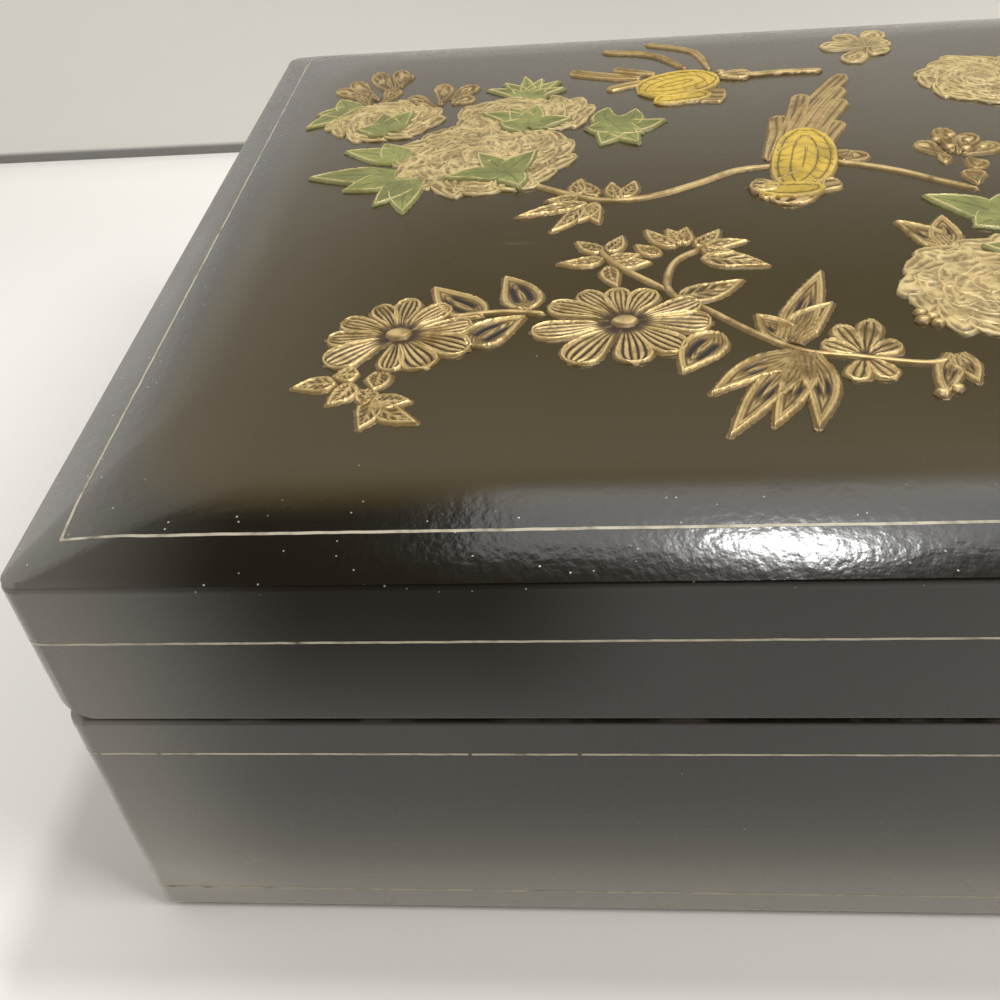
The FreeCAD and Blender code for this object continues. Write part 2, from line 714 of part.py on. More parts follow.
def stem_prism(width_share, places):
    """A stem of even width through its places."""
    middle = [plan_point(place) for place in places]
    half = width_share * depth / 2
    near_side = []
    far_side = []
    for number, point in enumerate(middle):
        before = middle[max(number - 1, 0)]
        after = middle[min(number + 1, len(middle) - 1)]
        ahead = (after - before).normalize()
        sideways = Vector(-ahead.y, ahead.x, 0) * half
        near_side.append(point - sideways)
        far_side.append(point + sideways)
    return raised(near_side + far_side[::-1])


def lid_relief(panel):
    """The raised ornament on the lid in four pieces, each cut round the ones before it."""
    lifted = panel.translated(Vector(0, 0, relief_height))
    skin = lifted.cut(panel)
    groups = {
        "flowers": [flower_prism(daisy_petal_count, *shares) for shares in daisy_shares]
        + [flower_prism(peony_petal_count, *shares) for shares in peony_shares],
        "leaves": leaf_prisms(gilt_leaf_shares + green_leaf_shares),
        "birds": leaf_prisms(bird_shares),
        "stems": [stem_prism(*shares) for shares in stem_shares] + leaf_prisms(spray_shares),
    }
    pieces = {}
    taken = None
    for name, prisms in groups.items():
        joined = prisms[0].multiFuse(prisms[1:]).removeSplitter()
        free = joined.cut(taken) if taken else joined
        taken = joined if taken is None else taken.fuse(joined)
        ornament = skin.common(free)
        solids = [solid for solid in ornament.Solids if solid.Volume > least_relief_volume]
        pieces["lid_relief_" + name] = Part.makeCompound(solids)
    return pieces


def lid_rails():
    """The four rails of the lid, mitred at the corners, with the bevel and the hinge gains at the back."""
    ring = rounded_block(lid_foot, panel_foot)
    ring = round_level_edges(ring, lid_foot, edge_round)
    ring = ring.cut(block(left + lid_wall, right - lid_wall, front + lid_wall, back - lid_back_wall,
                          lid_foot - overrun, panel_foot + overrun))
    ring = ring.cut(back_bevel(True))
    rails = {}
    for side in ("front", "left", "right", "back"):
        wedge = mitre_wedge(side, lid_back_wall, lid_foot - overrun, panel_foot + overrun)
        rails["lid_" + side + "_rail"] = ring.common(wedge)
    rails["lid_back_rail"] = cut_for_hinges(rails["lid_back_rail"], True)
    return rails


def lid_inner_pieces():
    """The velvet board, the mirror and its mitred frame under the lid's top."""
    pieces = {}
    ceiling = panel_foot - lid_panel_step
    lining_foot = ceiling - lining_thickness
    pieces["lid_lining"] = block(left + lid_wall, right - lid_wall, front + lid_wall, back - lid_back_wall,
                                 lining_foot, ceiling)
    half_x = (width - 2 * lid_wall) / 2 - mirror_side_margin
    half_y = (depth - lid_wall - lid_back_wall) / 2 - mirror_end_margin
    middle_y = (lid_wall - lid_back_wall) / 2
    mirror = block(-half_x, half_x, middle_y - half_y, middle_y + half_y, lining_foot - mirror_thickness,
                   lining_foot)
    pieces["mirror_glass"] = mirror
    reach_x = half_x + mirror_frame_width - mirror_frame_lap
    reach_y = half_y + mirror_frame_width - mirror_frame_lap
    frame_foot = lining_foot - mirror_frame_height
    for side in ("front", "back", "left", "right"):
        pieces["mirror_frame_" + side] = mirror_frame_strip(side, reach_x, reach_y, middle_y, frame_foot,
                                                            lining_foot)
    return pieces


def mirror_frame_strip(side, reach_x, reach_y, middle_y, foot, top):
    """One moulded strip of the mirror frame, lapped over the glass and mitred at both ends."""
    sign = -1 if side in ("front", "left") else 1
    along_x = side in ("front", "back")
    outer = reach_y if along_x else reach_x
    length_half = reach_x if along_x else reach_y
    rebate_top = top - mirror_thickness - mirror_fit
    inner = outer - mirror_frame_width
    glass_edge = inner + mirror_frame_lap + mirror_fit
    shoulder = (foot + top) / 2
    crown_middle = (inner + outer) / 2
    profile = [(outer, top), (outer, shoulder), (crown_middle, foot), (inner, rebate_top - mirror_frame_lip),
               (inner, rebate_top), (glass_edge, rebate_top), (glass_edge, top)]
    points = []
    for reach, z in profile:
        if along_x:
            points.append(Vector(-length_half, middle_y + sign * reach, z))
        else:
            points.append(Vector(sign * reach, middle_y - length_half, z))
    length = Vector(2 * length_half, 0, 0) if along_x else Vector(0, 2 * length_half, 0)
    strip = prism(points, length)
    wide = mirror_frame_width + mirror_frame_lap
    if along_x:
        corners = [(-reach_x, outer), (reach_x, outer), (reach_x - wide, outer - wide),
                   (-reach_x + wide, outer - wide)]
        corners = [(x, middle_y + sign * y) for x, y in corners]
    else:
        corners = [(outer, -reach_y), (outer, reach_y), (outer - wide, reach_y - wide),
                   (outer - wide, -reach_y + wide)]
        corners = [(sign * x, middle_y + y) for x, y in corners]
    wedge = prism([Vector(x, y, foot - overrun) for x, y in corners], Vector(0, 0, top - foot + 2 * overrun))
    return strip.common(wedge)


def hinge_leaf(start, upwards):
    """One leaf with its share of the interleaved knuckles, bored for the pin and sunk for the screws."""
    low, high = leaf_plate_heights(upwards)
    pitch = (hinge_length + knuckle_gap) / knuckle_count
    leaf = block(start, start + hinge_length, leaf_edge, plate_edge, low, high)
    first = 1 if upwards else 0
    for number in range(first, knuckle_count, 2):
        x0 = start + number * pitch
        x1 = x0 + pitch - knuckle_gap
        neck = block(x0, x1, plate_edge, axis_y, low, high)
        knuckle = bar_along_x(x0, x1, axis_y, axis_z, knuckle_radius)
        leaf = leaf.fuse(neck).fuse(knuckle)
    bore = bar_along_x(start - overrun, start + hinge_length + overrun, axis_y, axis_z,
                       hinge_pin_radius + hinge_pin_clearance)
    leaf = leaf.removeSplitter().cut(bore)
    for x, y in screw_places(start):
        leaf = leaf.cut(screw_hole(x, y, upwards))
    return leaf


def hinge_pieces():
    """Both hinges with their pins and screws."""
    pieces = {}
    for name, start in zip(("left", "right"), hinge_starts()):
        pieces["hinge_" + name + "_base_leaf"] = hinge_leaf(start, False)
        pieces["hinge_" + name + "_lid_leaf"] = hinge_leaf(start, True)
        pieces["hinge_" + name + "_pin"] = bar_along_x(start, start + hinge_length, axis_y, axis_z,
                                                       hinge_pin_radius)
    for name, upwards in (("base", False), ("lid", True)):
        screws = [screw(x, y, upwards) for start in hinge_starts() for x, y in screw_places(start)]
        pieces["hinge_screws_" + name] = Part.makeCompound(screws)
    return pieces


def build():
    """Every piece of the box by its name."""
    pieces = {}
    for group in (base_walls, base_inner_pieces, compartment_linings, tray_dividers, drawer_pieces,
                  lock_pieces,
                  lid_rails, lid_inner_pieces, hinge_pieces):
        pieces.update(group())
    pieces["ring_rolls"] = ring_rolls()
    pieces["lid_top_panel"] = lid_top_panel()
    pieces.update(lid_relief(pieces["lid_top_panel"]))
    return pieces


os.makedirs("parts", exist_ok=True)
print("drawer travel", drawer_travel, "hinge axis", axis_y, axis_z, "pin travel", pin_travel)
for name, shape in sorted(build().items()):
    shape.exportStep("parts/" + name + ".step")
    box = shape.BoundBox
    print(name, len(shape.Solids), shape.isValid(), round(shape.Volume, 1),
          [round(value, 2) for value in (box.XMin, box.XMax, box.YMin, box.YMax, box.ZMin, box.ZMax)])
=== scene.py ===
import math

import bmesh
import bpy
from mathutils import Matrix, Vector, noise


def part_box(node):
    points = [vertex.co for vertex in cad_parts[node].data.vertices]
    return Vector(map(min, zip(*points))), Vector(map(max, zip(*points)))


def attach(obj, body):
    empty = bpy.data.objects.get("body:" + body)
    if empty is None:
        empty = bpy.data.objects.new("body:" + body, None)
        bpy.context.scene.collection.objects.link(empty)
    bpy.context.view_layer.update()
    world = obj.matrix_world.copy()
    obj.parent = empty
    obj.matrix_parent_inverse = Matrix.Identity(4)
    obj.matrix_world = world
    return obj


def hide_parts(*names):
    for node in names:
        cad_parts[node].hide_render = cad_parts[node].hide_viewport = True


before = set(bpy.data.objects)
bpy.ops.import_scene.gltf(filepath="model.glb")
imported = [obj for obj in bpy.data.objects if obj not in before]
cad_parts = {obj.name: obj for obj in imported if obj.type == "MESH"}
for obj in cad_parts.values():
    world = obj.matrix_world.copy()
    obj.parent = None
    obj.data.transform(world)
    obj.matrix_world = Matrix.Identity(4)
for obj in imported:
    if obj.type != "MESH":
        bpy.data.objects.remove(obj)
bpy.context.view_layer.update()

bl_info = {
    "name": "Lacquered drawer box",
    "version": (1, 0, 0),
    "blender": (4, 5, 0),
    "location": "3D View > Sidebar > Box",
    "description": "Dresses the lacquered drawer box with its relief, linings and brass, and sets its stage",
    "category": "Object",
}

# Lengths of pieces are written in millimetres and become metres when a piece is finished
MM = 0.001
SEED = Vector((3.1, 7.7, 1.9))

# A slanted face larger than this, in square millimetres, is a mitre and not a bevel
MITRE_AREA = 60

# Places read from the parts of model.glb, in millimetres
PANEL_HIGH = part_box("lid_top_panel")[1] / MM
RAIL_LOW, RAIL_HIGH = (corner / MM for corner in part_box("lid_front_rail"))
FRONT_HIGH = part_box("drawer_front")[1] / MM
HALF_WIDTH = PANEL_HIGH.x
HALF_DEPTH = PANEL_HIGH.y
SEAM_HEIGHT = FRONT_HIGH.z


def size_setting(name, description, value):
    """A length that a user can change."""
    return bpy.props.FloatProperty(name=name, description=description + ", in millimetres", default=value)


def colour_setting(name, description, value):
    """A colour that a user can change."""
    return bpy.props.FloatVectorProperty(name=name, description=description, default=value, size=3,
                                         subtype="COLOR")


class BoxSizes(bpy.types.PropertyGroup):
    """The sizes of the dressed pieces that a user would change."""

    crease_drop: size_setting("Crease drop", "How far the pillow's crease lies below the crown", 5.6)
    pillow_reach: size_setting("Pillow reach", "Reach of the pillow's curve from the edge", 24.0)
    pillow_rise: size_setting("Pillow rise", "How far the pillow rises over its reach", 4.6)
    crown_share: bpy.props.FloatProperty(
        name="Crown share", description="The share of the depth over which the crown rises", default=0.33,
        subtype="FACTOR")
    corner_wear: size_setting("Corner wear", "Radius of the lid's worn corner at the seam", 5.2)
    corner_radius: size_setting("Corner radius", "Radius of the upright corners", 3.2)
    corner_growth: bpy.props.FloatProperty(
        name="Corner growth", description="How fast the pillow's corners open inwards", default=0.9)
    line_width: size_setting("Line width", "Width of the gold lines", 0.48)
    border_inset: size_setting("Border inset", "Inset of the gold border on the lid's top", 8.3)
    lid_line_height: size_setting("Lid line height", "Height of the gold line round the lid", 79.9)
    base_line_height: size_setting("Base line height", "Height of the upper gold line round the base", 51.9)
    foot_line_height: size_setting("Foot line height", "Height of the lower gold line round the base", 8.2)
    relief_rise: size_setting("Relief rise", "How far the relief stands above the lid", 0.62)
    edge_softening: size_setting("Edge softening", "Width of the softened edges of the casing", 0.12)


class BoxColours(bpy.types.PropertyGroup):
    """The colours of the finishes."""

    lacquer: colour_setting("Lacquer", "Black of the lacquer", (0.010, 0.0075, 0.004))
    faded: colour_setting("Faded lacquer", "Olive brown of the faded top", (0.046, 0.033, 0.008))
    # This grey brown is laid on as a faint cloudy film and as painted reflections of the bright floor and of
    # the bright left side
    haze_and_reflection: colour_setting("Haze", "Grey brown haze on the old lacquer", (0.31, 0.29, 0.25))
    gilt: colour_setting("Gilt", "Antique gold of the relief", (0.27, 0.168, 0.042))
    gilt_light: colour_setting("Worn gilt", "Bright gold on the relief's ridges", (0.74, 0.55, 0.245))
    line: colour_setting("Line", "Pale gold of the thin lines", (0.44, 0.40, 0.30))
    groove: colour_setting("Groove", "Dark brown in the relief's grooves", (0.045, 0.026, 0.009))
    green: colour_setting("Leaf green", "Green of the painted leaves", (0.250, 0.262, 0.066))
    blossom: colour_setting("Blossom", "Paler gold of the peonies", (0.43, 0.31, 0.120))
    blossom_light: colour_setting("Blossom folds", "Beige of the peonies' folds", (0.74, 0.58, 0.265))
    yellow: colour_setting("Bird yellow", "Yellow of the birds", (0.62, 0.42, 0.045))
    velvet: colour_setting("Velvet", "Deep red of the velvet", (0.20, 0.010, 0.018))
    felt: colour_setting("Felt", "Dark green of the felt under the base", (0.02, 0.035, 0.022))
    wood: colour_setting("Stained wood", "Brown stain of the inner wood", (0.17, 0.085, 0.042))
    brass: colour_setting("Brass", "Polished brass", (0.78, 0.55, 0.24))
    floor: colour_setting("Floor", "Pale surface under the box", (0.87, 0.85, 0.815))
    wall: colour_setting("Wall", "Pale wall behind the box", (0.80, 0.78, 0.74))


def sizes():
    """The sizes in use."""
    return bpy.context.scene.box_sizes


def colours():
    """The colours in use."""
    return bpy.context.scene.box_colours


class Value:
    """A number in a shader, on which sums are written as expressions."""

    def __init__(self, shader, socket):
        self.shader = shader
        self.socket = socket

    def __add__(self, other):
        return self.shader.maths("ADD", self, other)

    __radd__ = __add__

    def __sub__(self, other):
        return self.shader.maths("SUBTRACT", self, other)

    def __rsub__(self, other):
        return self.shader.maths("SUBTRACT", other, self)

    def __mul__(self, other):
        return self.shader.maths("MULTIPLY", self, other)

    __rmul__ = __mul__

    def __pow__(self, other):
        return self.shader.maths("POWER", self, other)

    def __lt__(self, other):
        return self.shader.maths("LESS_THAN", self, other)

    def __abs__(self):
        return self.shader.maths("ABSOLUTE", self, 0)

    def ramp(self, low, high):
        """Goes smoothly from 0 at low to 1 at high."""
        node = self.shader.node("ShaderNodeMapRange", {"interpolation_type": "SMOOTHSTEP"},
                                {"Value": self, "From Min": low, "From Max": high})
        return Value(self.shader, node.outputs["Result"])

    def most(self, other):
        """The larger of two numbers."""
        return self.shader.maths("MAXIMUM", self, other)

    def least(self, other):
        """The smaller of two numbers."""
        return self.shader.maths("MINIMUM", self, other)


class Shader:
    """A material's node tree, with short ways to add nodes."""

    def __init__(self, name, surround=False):
        self.material = bpy.data.worlds.new(name) if surround else bpy.data.materials.new(name)
        self.material.use_nodes = True
        self.tree = self.material.node_tree
        self.tree.nodes.clear()
        self.output = self.tree.nodes.new("ShaderNodeOutputWorld" if surround else "ShaderNodeOutputMaterial")
        self.coordinates = self.node("ShaderNodeTexCoord").outputs["Generated" if surround else "Object"]

    def node(self, kind, settings=None, inputs=None):
        """Adds a node, gives it its settings and then the values or links of its sockets."""
        node = self.tree.nodes.new(kind)
        for key, setting in (settings or {}).items():
            if key == "stops":
                for number, (place, colour) in enumerate(setting):
                    elements = node.color_ramp.elements
                    element = elements[number] if number < len(elements) else elements.new(place)
                    element.position = place
                    element.color = (*colour, 1)
            else:
                setattr(node, key, setting)
        for key, given in (inputs or {}).items():
            socket = node.inputs[key]
            if isinstance(given, Value):
                given = given.socket
            if isinstance(given, bpy.types.NodeSocket):
                self.tree.links.new(given, socket)
            elif socket.type == "RGBA" and len(given) == 3:
                socket.default_value = (*given, 1)
            else:
                socket.default_value = given
        return node

    def maths(self, operation, first, second):
        """One Math node."""
        node = self.node("ShaderNodeMath", {"operation": operation}, {0: first, 1: second})
        return Value(self, node.outputs[0])

    def place(self, scale=(1, 1, 1), turn=0.0):
        """Object coordinates, turned about Z and stretched."""
        node = self.node("ShaderNodeMapping", None,
                         {"Vector": self.coordinates, "Rotation": (0, 0, turn), "Scale": scale})
        return node.outputs["Vector"]

    def axis(self, letter):
        """One object coordinate, in metres."""
        node = self.node("ShaderNodeSeparateXYZ", None, {"Vector": self.coordinates})
        return Value(self, node.outputs[letter])

    def noise(self, scale, detail=3.0, roughness=0.5, distortion=0.0, vector=None):
        """Soft noise between 0 and 1."""
        node = self.node("ShaderNodeTexNoise", None,
                         {"Vector": vector or self.coordinates, "Scale": scale, "Detail": detail,
                          "Roughness": roughness, "Distortion": distortion})
        return Value(self, node.outputs[0])

    def specks(self, scale, radius, share):
        """Small round specks, in a share of the cells of a pattern."""
        node = self.node("ShaderNodeTexVoronoi", None, {"Vector": self.coordinates, "Scale": scale})
        parts = self.node("ShaderNodeSeparateColor", None, {"Color": node.outputs["Color"]})
        near = 1 - Value(self, node.outputs["Distance"]).ramp(radius * 0.5, radius)
        return near * (Value(self, parts.outputs["Red"]) < share)

    def scratches(self, scale, turn, thinness, share):
        """Fine straight scratches in one direction, here and there."""
        streaks = self.noise(scale, 2.0, 0.5, 0.3, self.place((1.0, thinness, thinness), turn))
        patches = self.noise(scale * 3.0, 2.0)
        return (1 - abs(streaks - 0.5).ramp(0.0, 0.012)) * patches.ramp(share, share + 0.1)

    def painted(self, channel):
        """One channel of the paint that a piece carries on its points."""
        node = self.node("ShaderNodeAttribute", {"attribute_name": "paint"})
        parts = self.node("ShaderNodeSeparateColor", None, {"Color": node.outputs["Color"]})
        return Value(self, parts.outputs[channel])

    def mix(self, factor, first, second):
        """A mix of two colours."""
        node = self.node("ShaderNodeMix", {"data_type": "RGBA"}, {0: factor, 6: first, 7: second})
        return node.outputs[2]

    def bump(self, height, strength, distance):
        """A bump from a height."""
        node = self.node("ShaderNodeBump", None,
                         {"Height": height, "Strength": strength, "Distance": distance})
        return node.outputs["Normal"]

    def surface(self, inputs):
        """The Principled surface, joined to the output."""
        node = self.node("ShaderNodeBsdfPrincipled", None, inputs)
        self.tree.links.new(node.outputs[0], self.output.inputs["Surface"])
        return node


FINISHES = {}


def shaded(colour, factor):
    """A colour made darker or lighter by a factor."""
    return tuple(min(part * factor, 1) for part in colour)


def finish(name):
    """A finish by its name, made once."""
    if name not in FINISHES:
        FINISHES[name] = FINISH_MAKERS[name]()
    return FINISHES[name]


def lacquer_finish():
    """Old glossy black lacquer: faded top, a faint cloudy film, painted reflections of the bright floor and
    the bright left side, fine scratches, dust and pale worn edges that are partly a painted highlight.
    """
    shader = Shader("black_lacquer")
    hue = colours()
    across = shader.axis("X")
    height = shader.axis("Z")
    onto_top = (0.0905, 0.0930)
    clouds = shader.noise(9.0, 4.0, 0.55)
    # Paler towards the bottom of the walls: painted reflection of the bright floor
    painted_floor_reflection = (1 - height.ramp(0.0, 0.075)) ** 4.2
    # Paler towards the box's left end: painted reflection of the bright left side
    painted_left_reflection = (1 - across.ramp(-0.153, -0.105)) ** 2
    haze_and_reflection = (clouds.ramp(0.40, 0.80) * 0.035 + painted_floor_reflection * 0.90 + painted_left_reflection * 0.46).least(1.0)
    faded = height.ramp(0.0953, 0.0970) * (0.75 + clouds * 0.5)
    haze_and_reflection = haze_and_reflection * (1 - height.ramp(*onto_top) * 0.90)
    # Paler on the top's left front corner: painted reflection of the bright left side
    near = 1 - shader.axis("Y").ramp(-0.112, -0.070)
    haze_and_reflection = haze_and_reflection + (1 - across.ramp(-0.152, -0.116)) * near * height.ramp(*onto_top) * 0.22
    band = height.ramp(0.0900, 0.0915) * (1 - height.ramp(0.0957, 0.0966))
    scratched = shader.scratches(8.0, 0.5, 30.0, 0.66).most(shader.scratches(9.0, -1.1, 34.0, 0.68))
    dust = shader.specks(260.0, 0.045, 0.10).most(shader.specks(110.0, 0.020, 0.07))
    dust = dust.most(shader.specks(640.0, 0.13, 0.30) * band)
    # Paler, rougher edges along the seam: worn lacquer, and partly a painted highlight that lightens the dark
    # seam
    near_seam = 1 - abs(height - SEAM_HEIGHT * MM).ramp(0.0, 0.0006)
    worn = near_seam * shader.noise(70.0, 4.0, 0.6).ramp(0.42, 0.62)
    colour = shader.mix(faded.least(1.0), hue.lacquer[:], hue.faded[:])
    # Cloudy film and painted reflections laid over the lacquer
    colour = shader.mix(haze_and_reflection, colour, hue.haze_and_reflection[:])
    colour = shader.mix(scratched * 0.10, colour, (0.30, 0.27, 0.22))
    # Pale edges along the seam: worn lacquer and partly a painted highlight
    colour = shader.mix(worn * 0.5, colour, (0.15, 0.12, 0.09))
    colour = shader.mix(dust * 0.8, colour, (0.50, 0.47, 0.42))
    smears = shader.noise(30.0, 3.0, 0.6, 0.8)
    peel = shader.noise(620.0, 2.0, 0.5)
    roughness = 0.13 + smears.ramp(0.35, 0.8) * 0.10 + peel * 0.05 + scratched * 0.2 + dust * 0.5 + worn * 0.3
    ripple = peel * (0.05 + band * 0.45) + smears * (0.25 + band * 0.4) - scratched * 0.15 + dust * 0.6
    dull = height.ramp(0.060, 0.092) ** 0.45 * (1 - height.ramp(0.0918, 0.0926))
    dull = dull * across.ramp(-0.135, -0.105) * (1 - across.ramp(-0.082, -0.050))
    gloss = 0.95 - dull * 0.95
    shader.surface({"Base Color": colour, "Roughness": roughness + 0.1, "Specular IOR Level": 0.08,
                    "Coat Weight": gloss, "Coat Roughness": 0.15, "Coat IOR": 1.46,
                    "Normal": shader.bump(ripple, 0.16, 0.0006),
                    "Coat Normal": shader.bump(ripple, 0.16, 0.0006)})
    return shader.material


def gold_line_finish():
    """The thin gold line, rubbed brown in places."""
    shader = Shader("gold_line")
    hue = colours()
    rubbed = shader.noise(260.0, 4.0, 0.6)
    colour = shader.mix(rubbed.ramp(0.42, 0.66), hue.line[:], shaded(hue.line, 0.62))
    colour = shader.mix(rubbed.ramp(0.62, 0.74) * 0.8, colour, hue.groove[:])
    shader.surface({"Base Color": colour, "Metallic": 0.1, "Roughness": 0.40 + rubbed * 0.25,
                    "Normal": shader.bump(rubbed, 0.25, 0.0001)})
    return shader.material


def relief_finish(name, body, light, rim_colour, dark, shine):
    """Painted relief: a body colour, light ridges and rims, dark grooves, bare lacquer in the openings."""
    shader = Shader(name)
    hue = colours()
    ridge = shader.painted("Red")
    groove = shader.painted("Green")
    rim = shader.painted("Blue")
    grain = shader.noise(520.0, 3.0, 0.65)
    patch = shader.noise(95.0, 4.0, 0.6)
    rubbed = shader.noise(210.0, 3.0, 0.6)
    colour = shader.mix(patch.ramp(0.35, 0.65) * 0.7, body, shaded(body, 0.45))
    colour = shader.mix((ridge * rubbed.ramp(0.25, 0.62)).least(1.0), colour, light)
    colour = shader.mix((rim * rubbed.ramp(0.18, 0.55)).least(1.0), colour, rim_colour)
    colour = shader.mix((groove * (0.8 + grain * 0.5)).least(1.0), colour, dark)
    bare = groove.ramp(0.93, 0.99)
    colour = shader.mix(bare, colour, hue.lacquer[:])
    roughness = 0.30 + grain * 0.22 - rim * 0.06
    metallic = shine * (1 - bare) * (0.35 + rim * 0.5 + ridge * 0.4).least(1.0)
    shader.surface({"Base Color": colour, "Roughness": roughness, "Metallic": metallic,
                    "Normal": shader.bump(grain + ridge * 0.3, 0.45, 0.00016)})
    return shader.material


def gilt_finish():
    """Antique gold relief."""
    hue = colours()
    return relief_finish("gilt_relief", hue.gilt[:], hue.gilt_light[:], hue.gilt_light[:], hue.groove[:],
                         0.75)


def blossom_finish():
    """The paler gold of the peonies."""
    hue = colours()
    return relief_finish("pale_blossom", hue.blossom[:], hue.blossom_light[:], hue.blossom_light[:],
                         hue.groove[:], 0.2)


def green_finish():
    """Green painted leaves with pale rims and darker veins."""
    hue = colours()
    return relief_finish("green_leaf", hue.green[:], hue.green[:], hue.blossom_light[:],
                         shaded(hue.green, 0.35), 0.15)


def yellow_finish():
    """Yellow birds with olive engraving and gilded edges."""
    hue = colours()
    return relief_finish("yellow_bird", hue.yellow[:], hue.yellow[:], hue.gilt_light[:], hue.groove[:], 0.2)


def brass_finish():
    """Polished brass with fine turning marks and a little tarnish."""
    shader = Shader("brass")
    tarnish = shader.noise(130.0, 4.0, 0.6)
    marks = shader.noise(60.0, 2.0, 0.5, 0.0, shader.place((1.0, 1.0, 60.0)))
    colour = shader.mix(tarnish.ramp(0.45, 0.75) * 0.6, colours().brass[:], (0.36, 0.22, 0.08))
    roughness = 0.20 + tarnish.ramp(0.3, 0.8) * 0.22 + marks * 0.08
    shader.surface({"Base Color": colour, "Metallic": 1.0, "Roughness": roughness,
                    "Normal": shader.bump(marks, 0.12, 0.0001)})
    return shader.material


def velvet_finish():
    """Deep red velvet with brushed, lighter patches and a soft pile."""
    shader = Shader("velvet")
    pile = shader.noise(2600.0, 2.0, 0.6)
    brushed = shader.noise(38.0, 3.0, 0.6, 1.2)
    base = colours().velvet[:]
    colour = shader.mix(brushed.ramp(0.35, 0.7), shaded(base, 0.55), base)
    colour = shader.mix(pile.ramp(0.5, 0.8) * 0.4, colour, shaded(base, 1.9))
    shader.surface({"Base Color": colour, "Roughness": 0.86 + pile * 0.1, "Sheen Weight": 0.45,
                    "Sheen Roughness": 0.4, "Sheen Tint": (0.9, 0.35, 0.35, 1), "Specular IOR Level": 0.15,
                    "Normal": shader.bump(pile + brushed * 0.6, 0.5, 0.0003)})
    return shader.material


def felt_finish():
    """Dark green felt with short tangled fibres."""
    shader = Shader("felt")
    fibres = shader.noise(1500.0, 5.0, 0.75, 1.5)
    base = colours().felt[:]
    colour = shader.mix(fibres.ramp(0.4, 0.7), base, shaded(base, 2.2))
    shader.surface({"Base Color": colour, "Roughness": 0.93 + fibres * 0.05, "Specular IOR Level": 0.1,
                    "Normal": shader.bump(fibres, 0.6, 0.0004)})
    return shader.material


def wood_finish():
    """Brown stained wood with its grain along the box."""
    shader = Shader("stained_wood")
    grain = shader.noise(26.0, 6.0, 0.65, 0.4, shader.place((0.22, 6.0, 6.0)))
    pores = shader.noise(90.0, 3.0, 0.6, 0.0, shader.place((0.12, 9.0, 9.0)))
    base = colours().wood[:]
    colour = shader.mix(grain.ramp(0.3, 0.7), shaded(base, 0.5), shaded(base, 1.45))
    colour = shader.mix(pores.ramp(0.58, 0.7) * 0.7, colour, shaded(base, 0.3))
    shader.surface({"Base Color": colour, "Roughness": 0.42 + grain * 0.22,
                    "Normal": shader.bump(grain - pores.ramp(0.55, 0.7) * 0.6, 0.25, 0.0003)})
    return shader.material


def mirror_finish():
    """Silvered glass with faint smudges."""
    shader = Shader("mirror")
    smudges = shader.noise(24.0, 4.0, 0.6, 0.7)
    age = shader.noise(160.0, 3.0).ramp(0.70, 0.80)
    colour = shader.mix(age * 0.4, (0.88, 0.90, 0.90), (0.42, 0.42, 0.38))
    shader.surface({"Base Color": colour, "Metallic": 1.0,
                    "Roughness": 0.015 + smudges.ramp(0.5, 0.8) * 0.05})
    return shader.material


def floor_finish():
    """The pale surface under the box, with a faint mottle."""
    shader = Shader("pale_floor")
    mottle = shader.noise(5.0, 3.0)
    base = colours().floor[:]
    colour = shader.mix(mottle, base, shaded(base, 0.97))
    shader.surface({"Base Color": colour, "Roughness": 0.55 + mottle * 0.1, "Specular IOR Level": 0.3})
    return shader.material


def wall_finish():
    """The pale wall behind the box, with a painted shadow along its bottom edge, clear from behind so that it
    hides nothing.
    """
    shader = Shader("pale_wall")
    mottle = shader.noise(3.0, 3.0)
    # Dark strip where the wall meets the floor: painted shadow
    painted_foot_shadow = 1 - shader.axis("Z").ramp(0.0032, 0.0058)
    base = colours().wall[:]
    colour = shader.mix(mottle, base, shaded(base, 0.96))
    colour = shader.mix(painted_foot_shadow * 0.9, colour, shaded(base, 0.20))
    front = shader.surface({"Base Color": colour, "Roughness": 0.8 + mottle * 0.1, "Specular IOR Level": 0.2})
    clear = shader.node("ShaderNodeBsdfTransparent")
    side = shader.node("ShaderNodeNewGeometry")
    both = shader.node("ShaderNodeMixShader", None,
                       {0: side.outputs["Backfacing"], 1: front.outputs[0], 2: clear.outputs[0]})
    shader.tree.links.new(both.outputs[0], shader.output.inputs["Surface"])
    return shader.material


FINISH_MAKERS = {
    "black_lacquer": lacquer_finish,
    "gold_line": gold_line_finish,
    "gilt_relief": gilt_finish,
    "pale_blossom": blossom_finish,
    "green_leaf": green_finish,
    "yellow_bird": yellow_finish,
    "brass": brass_finish,
    "velvet": velvet_finish,
    "felt": felt_finish,
    "stained_wood": wood_finish,
    "mirror": mirror_finish,
    "pale_floor": floor_finish,
    "pale_wall": wall_finish,
}


def crease_height():
    """The height of the crease between the lid's walls and its pillow."""
    return PANEL_HIGH.z - sizes().crease_drop


def pillow_height(inset):
    """The height of the lid's top at an inset from its edge."""
    size = sizes()
    crown_reach = 2 * HALF_DEPTH * size.crown_share
    edge = 1 - min(max(inset, 0), size.pillow_reach) / size.pillow_reach
    crown = 1 - min(max(inset, 0), crown_reach) / crown_reach
    crown_rise = size.crease_drop - size.pillow_rise
    return crease_height() + size.pillow_rise * (1 - edge ** 2) + crown_rise * (1 - crown ** 2)


def top_height(x, y):
    """The height of the lid's top at a place in plan, with its rounded corners."""
    size = sizes()
    inset = min(HALF_WIDTH - abs(x), HALF_DEPTH - abs(y))
    for _ in range(8):
        radius = size.corner_radius + size.corner_growth * min(inset, size.pillow_reach)
        past_x = abs(x) - (HALF_WIDTH - inset - radius)
        past_y = abs(y) - (HALF_DEPTH - inset - radius)
        if min(past_x, past_y) <= 0:
            break
        inset -= 0.6 * (math.hypot(past_x, past_y) - radius)
    return pillow_height(inset)


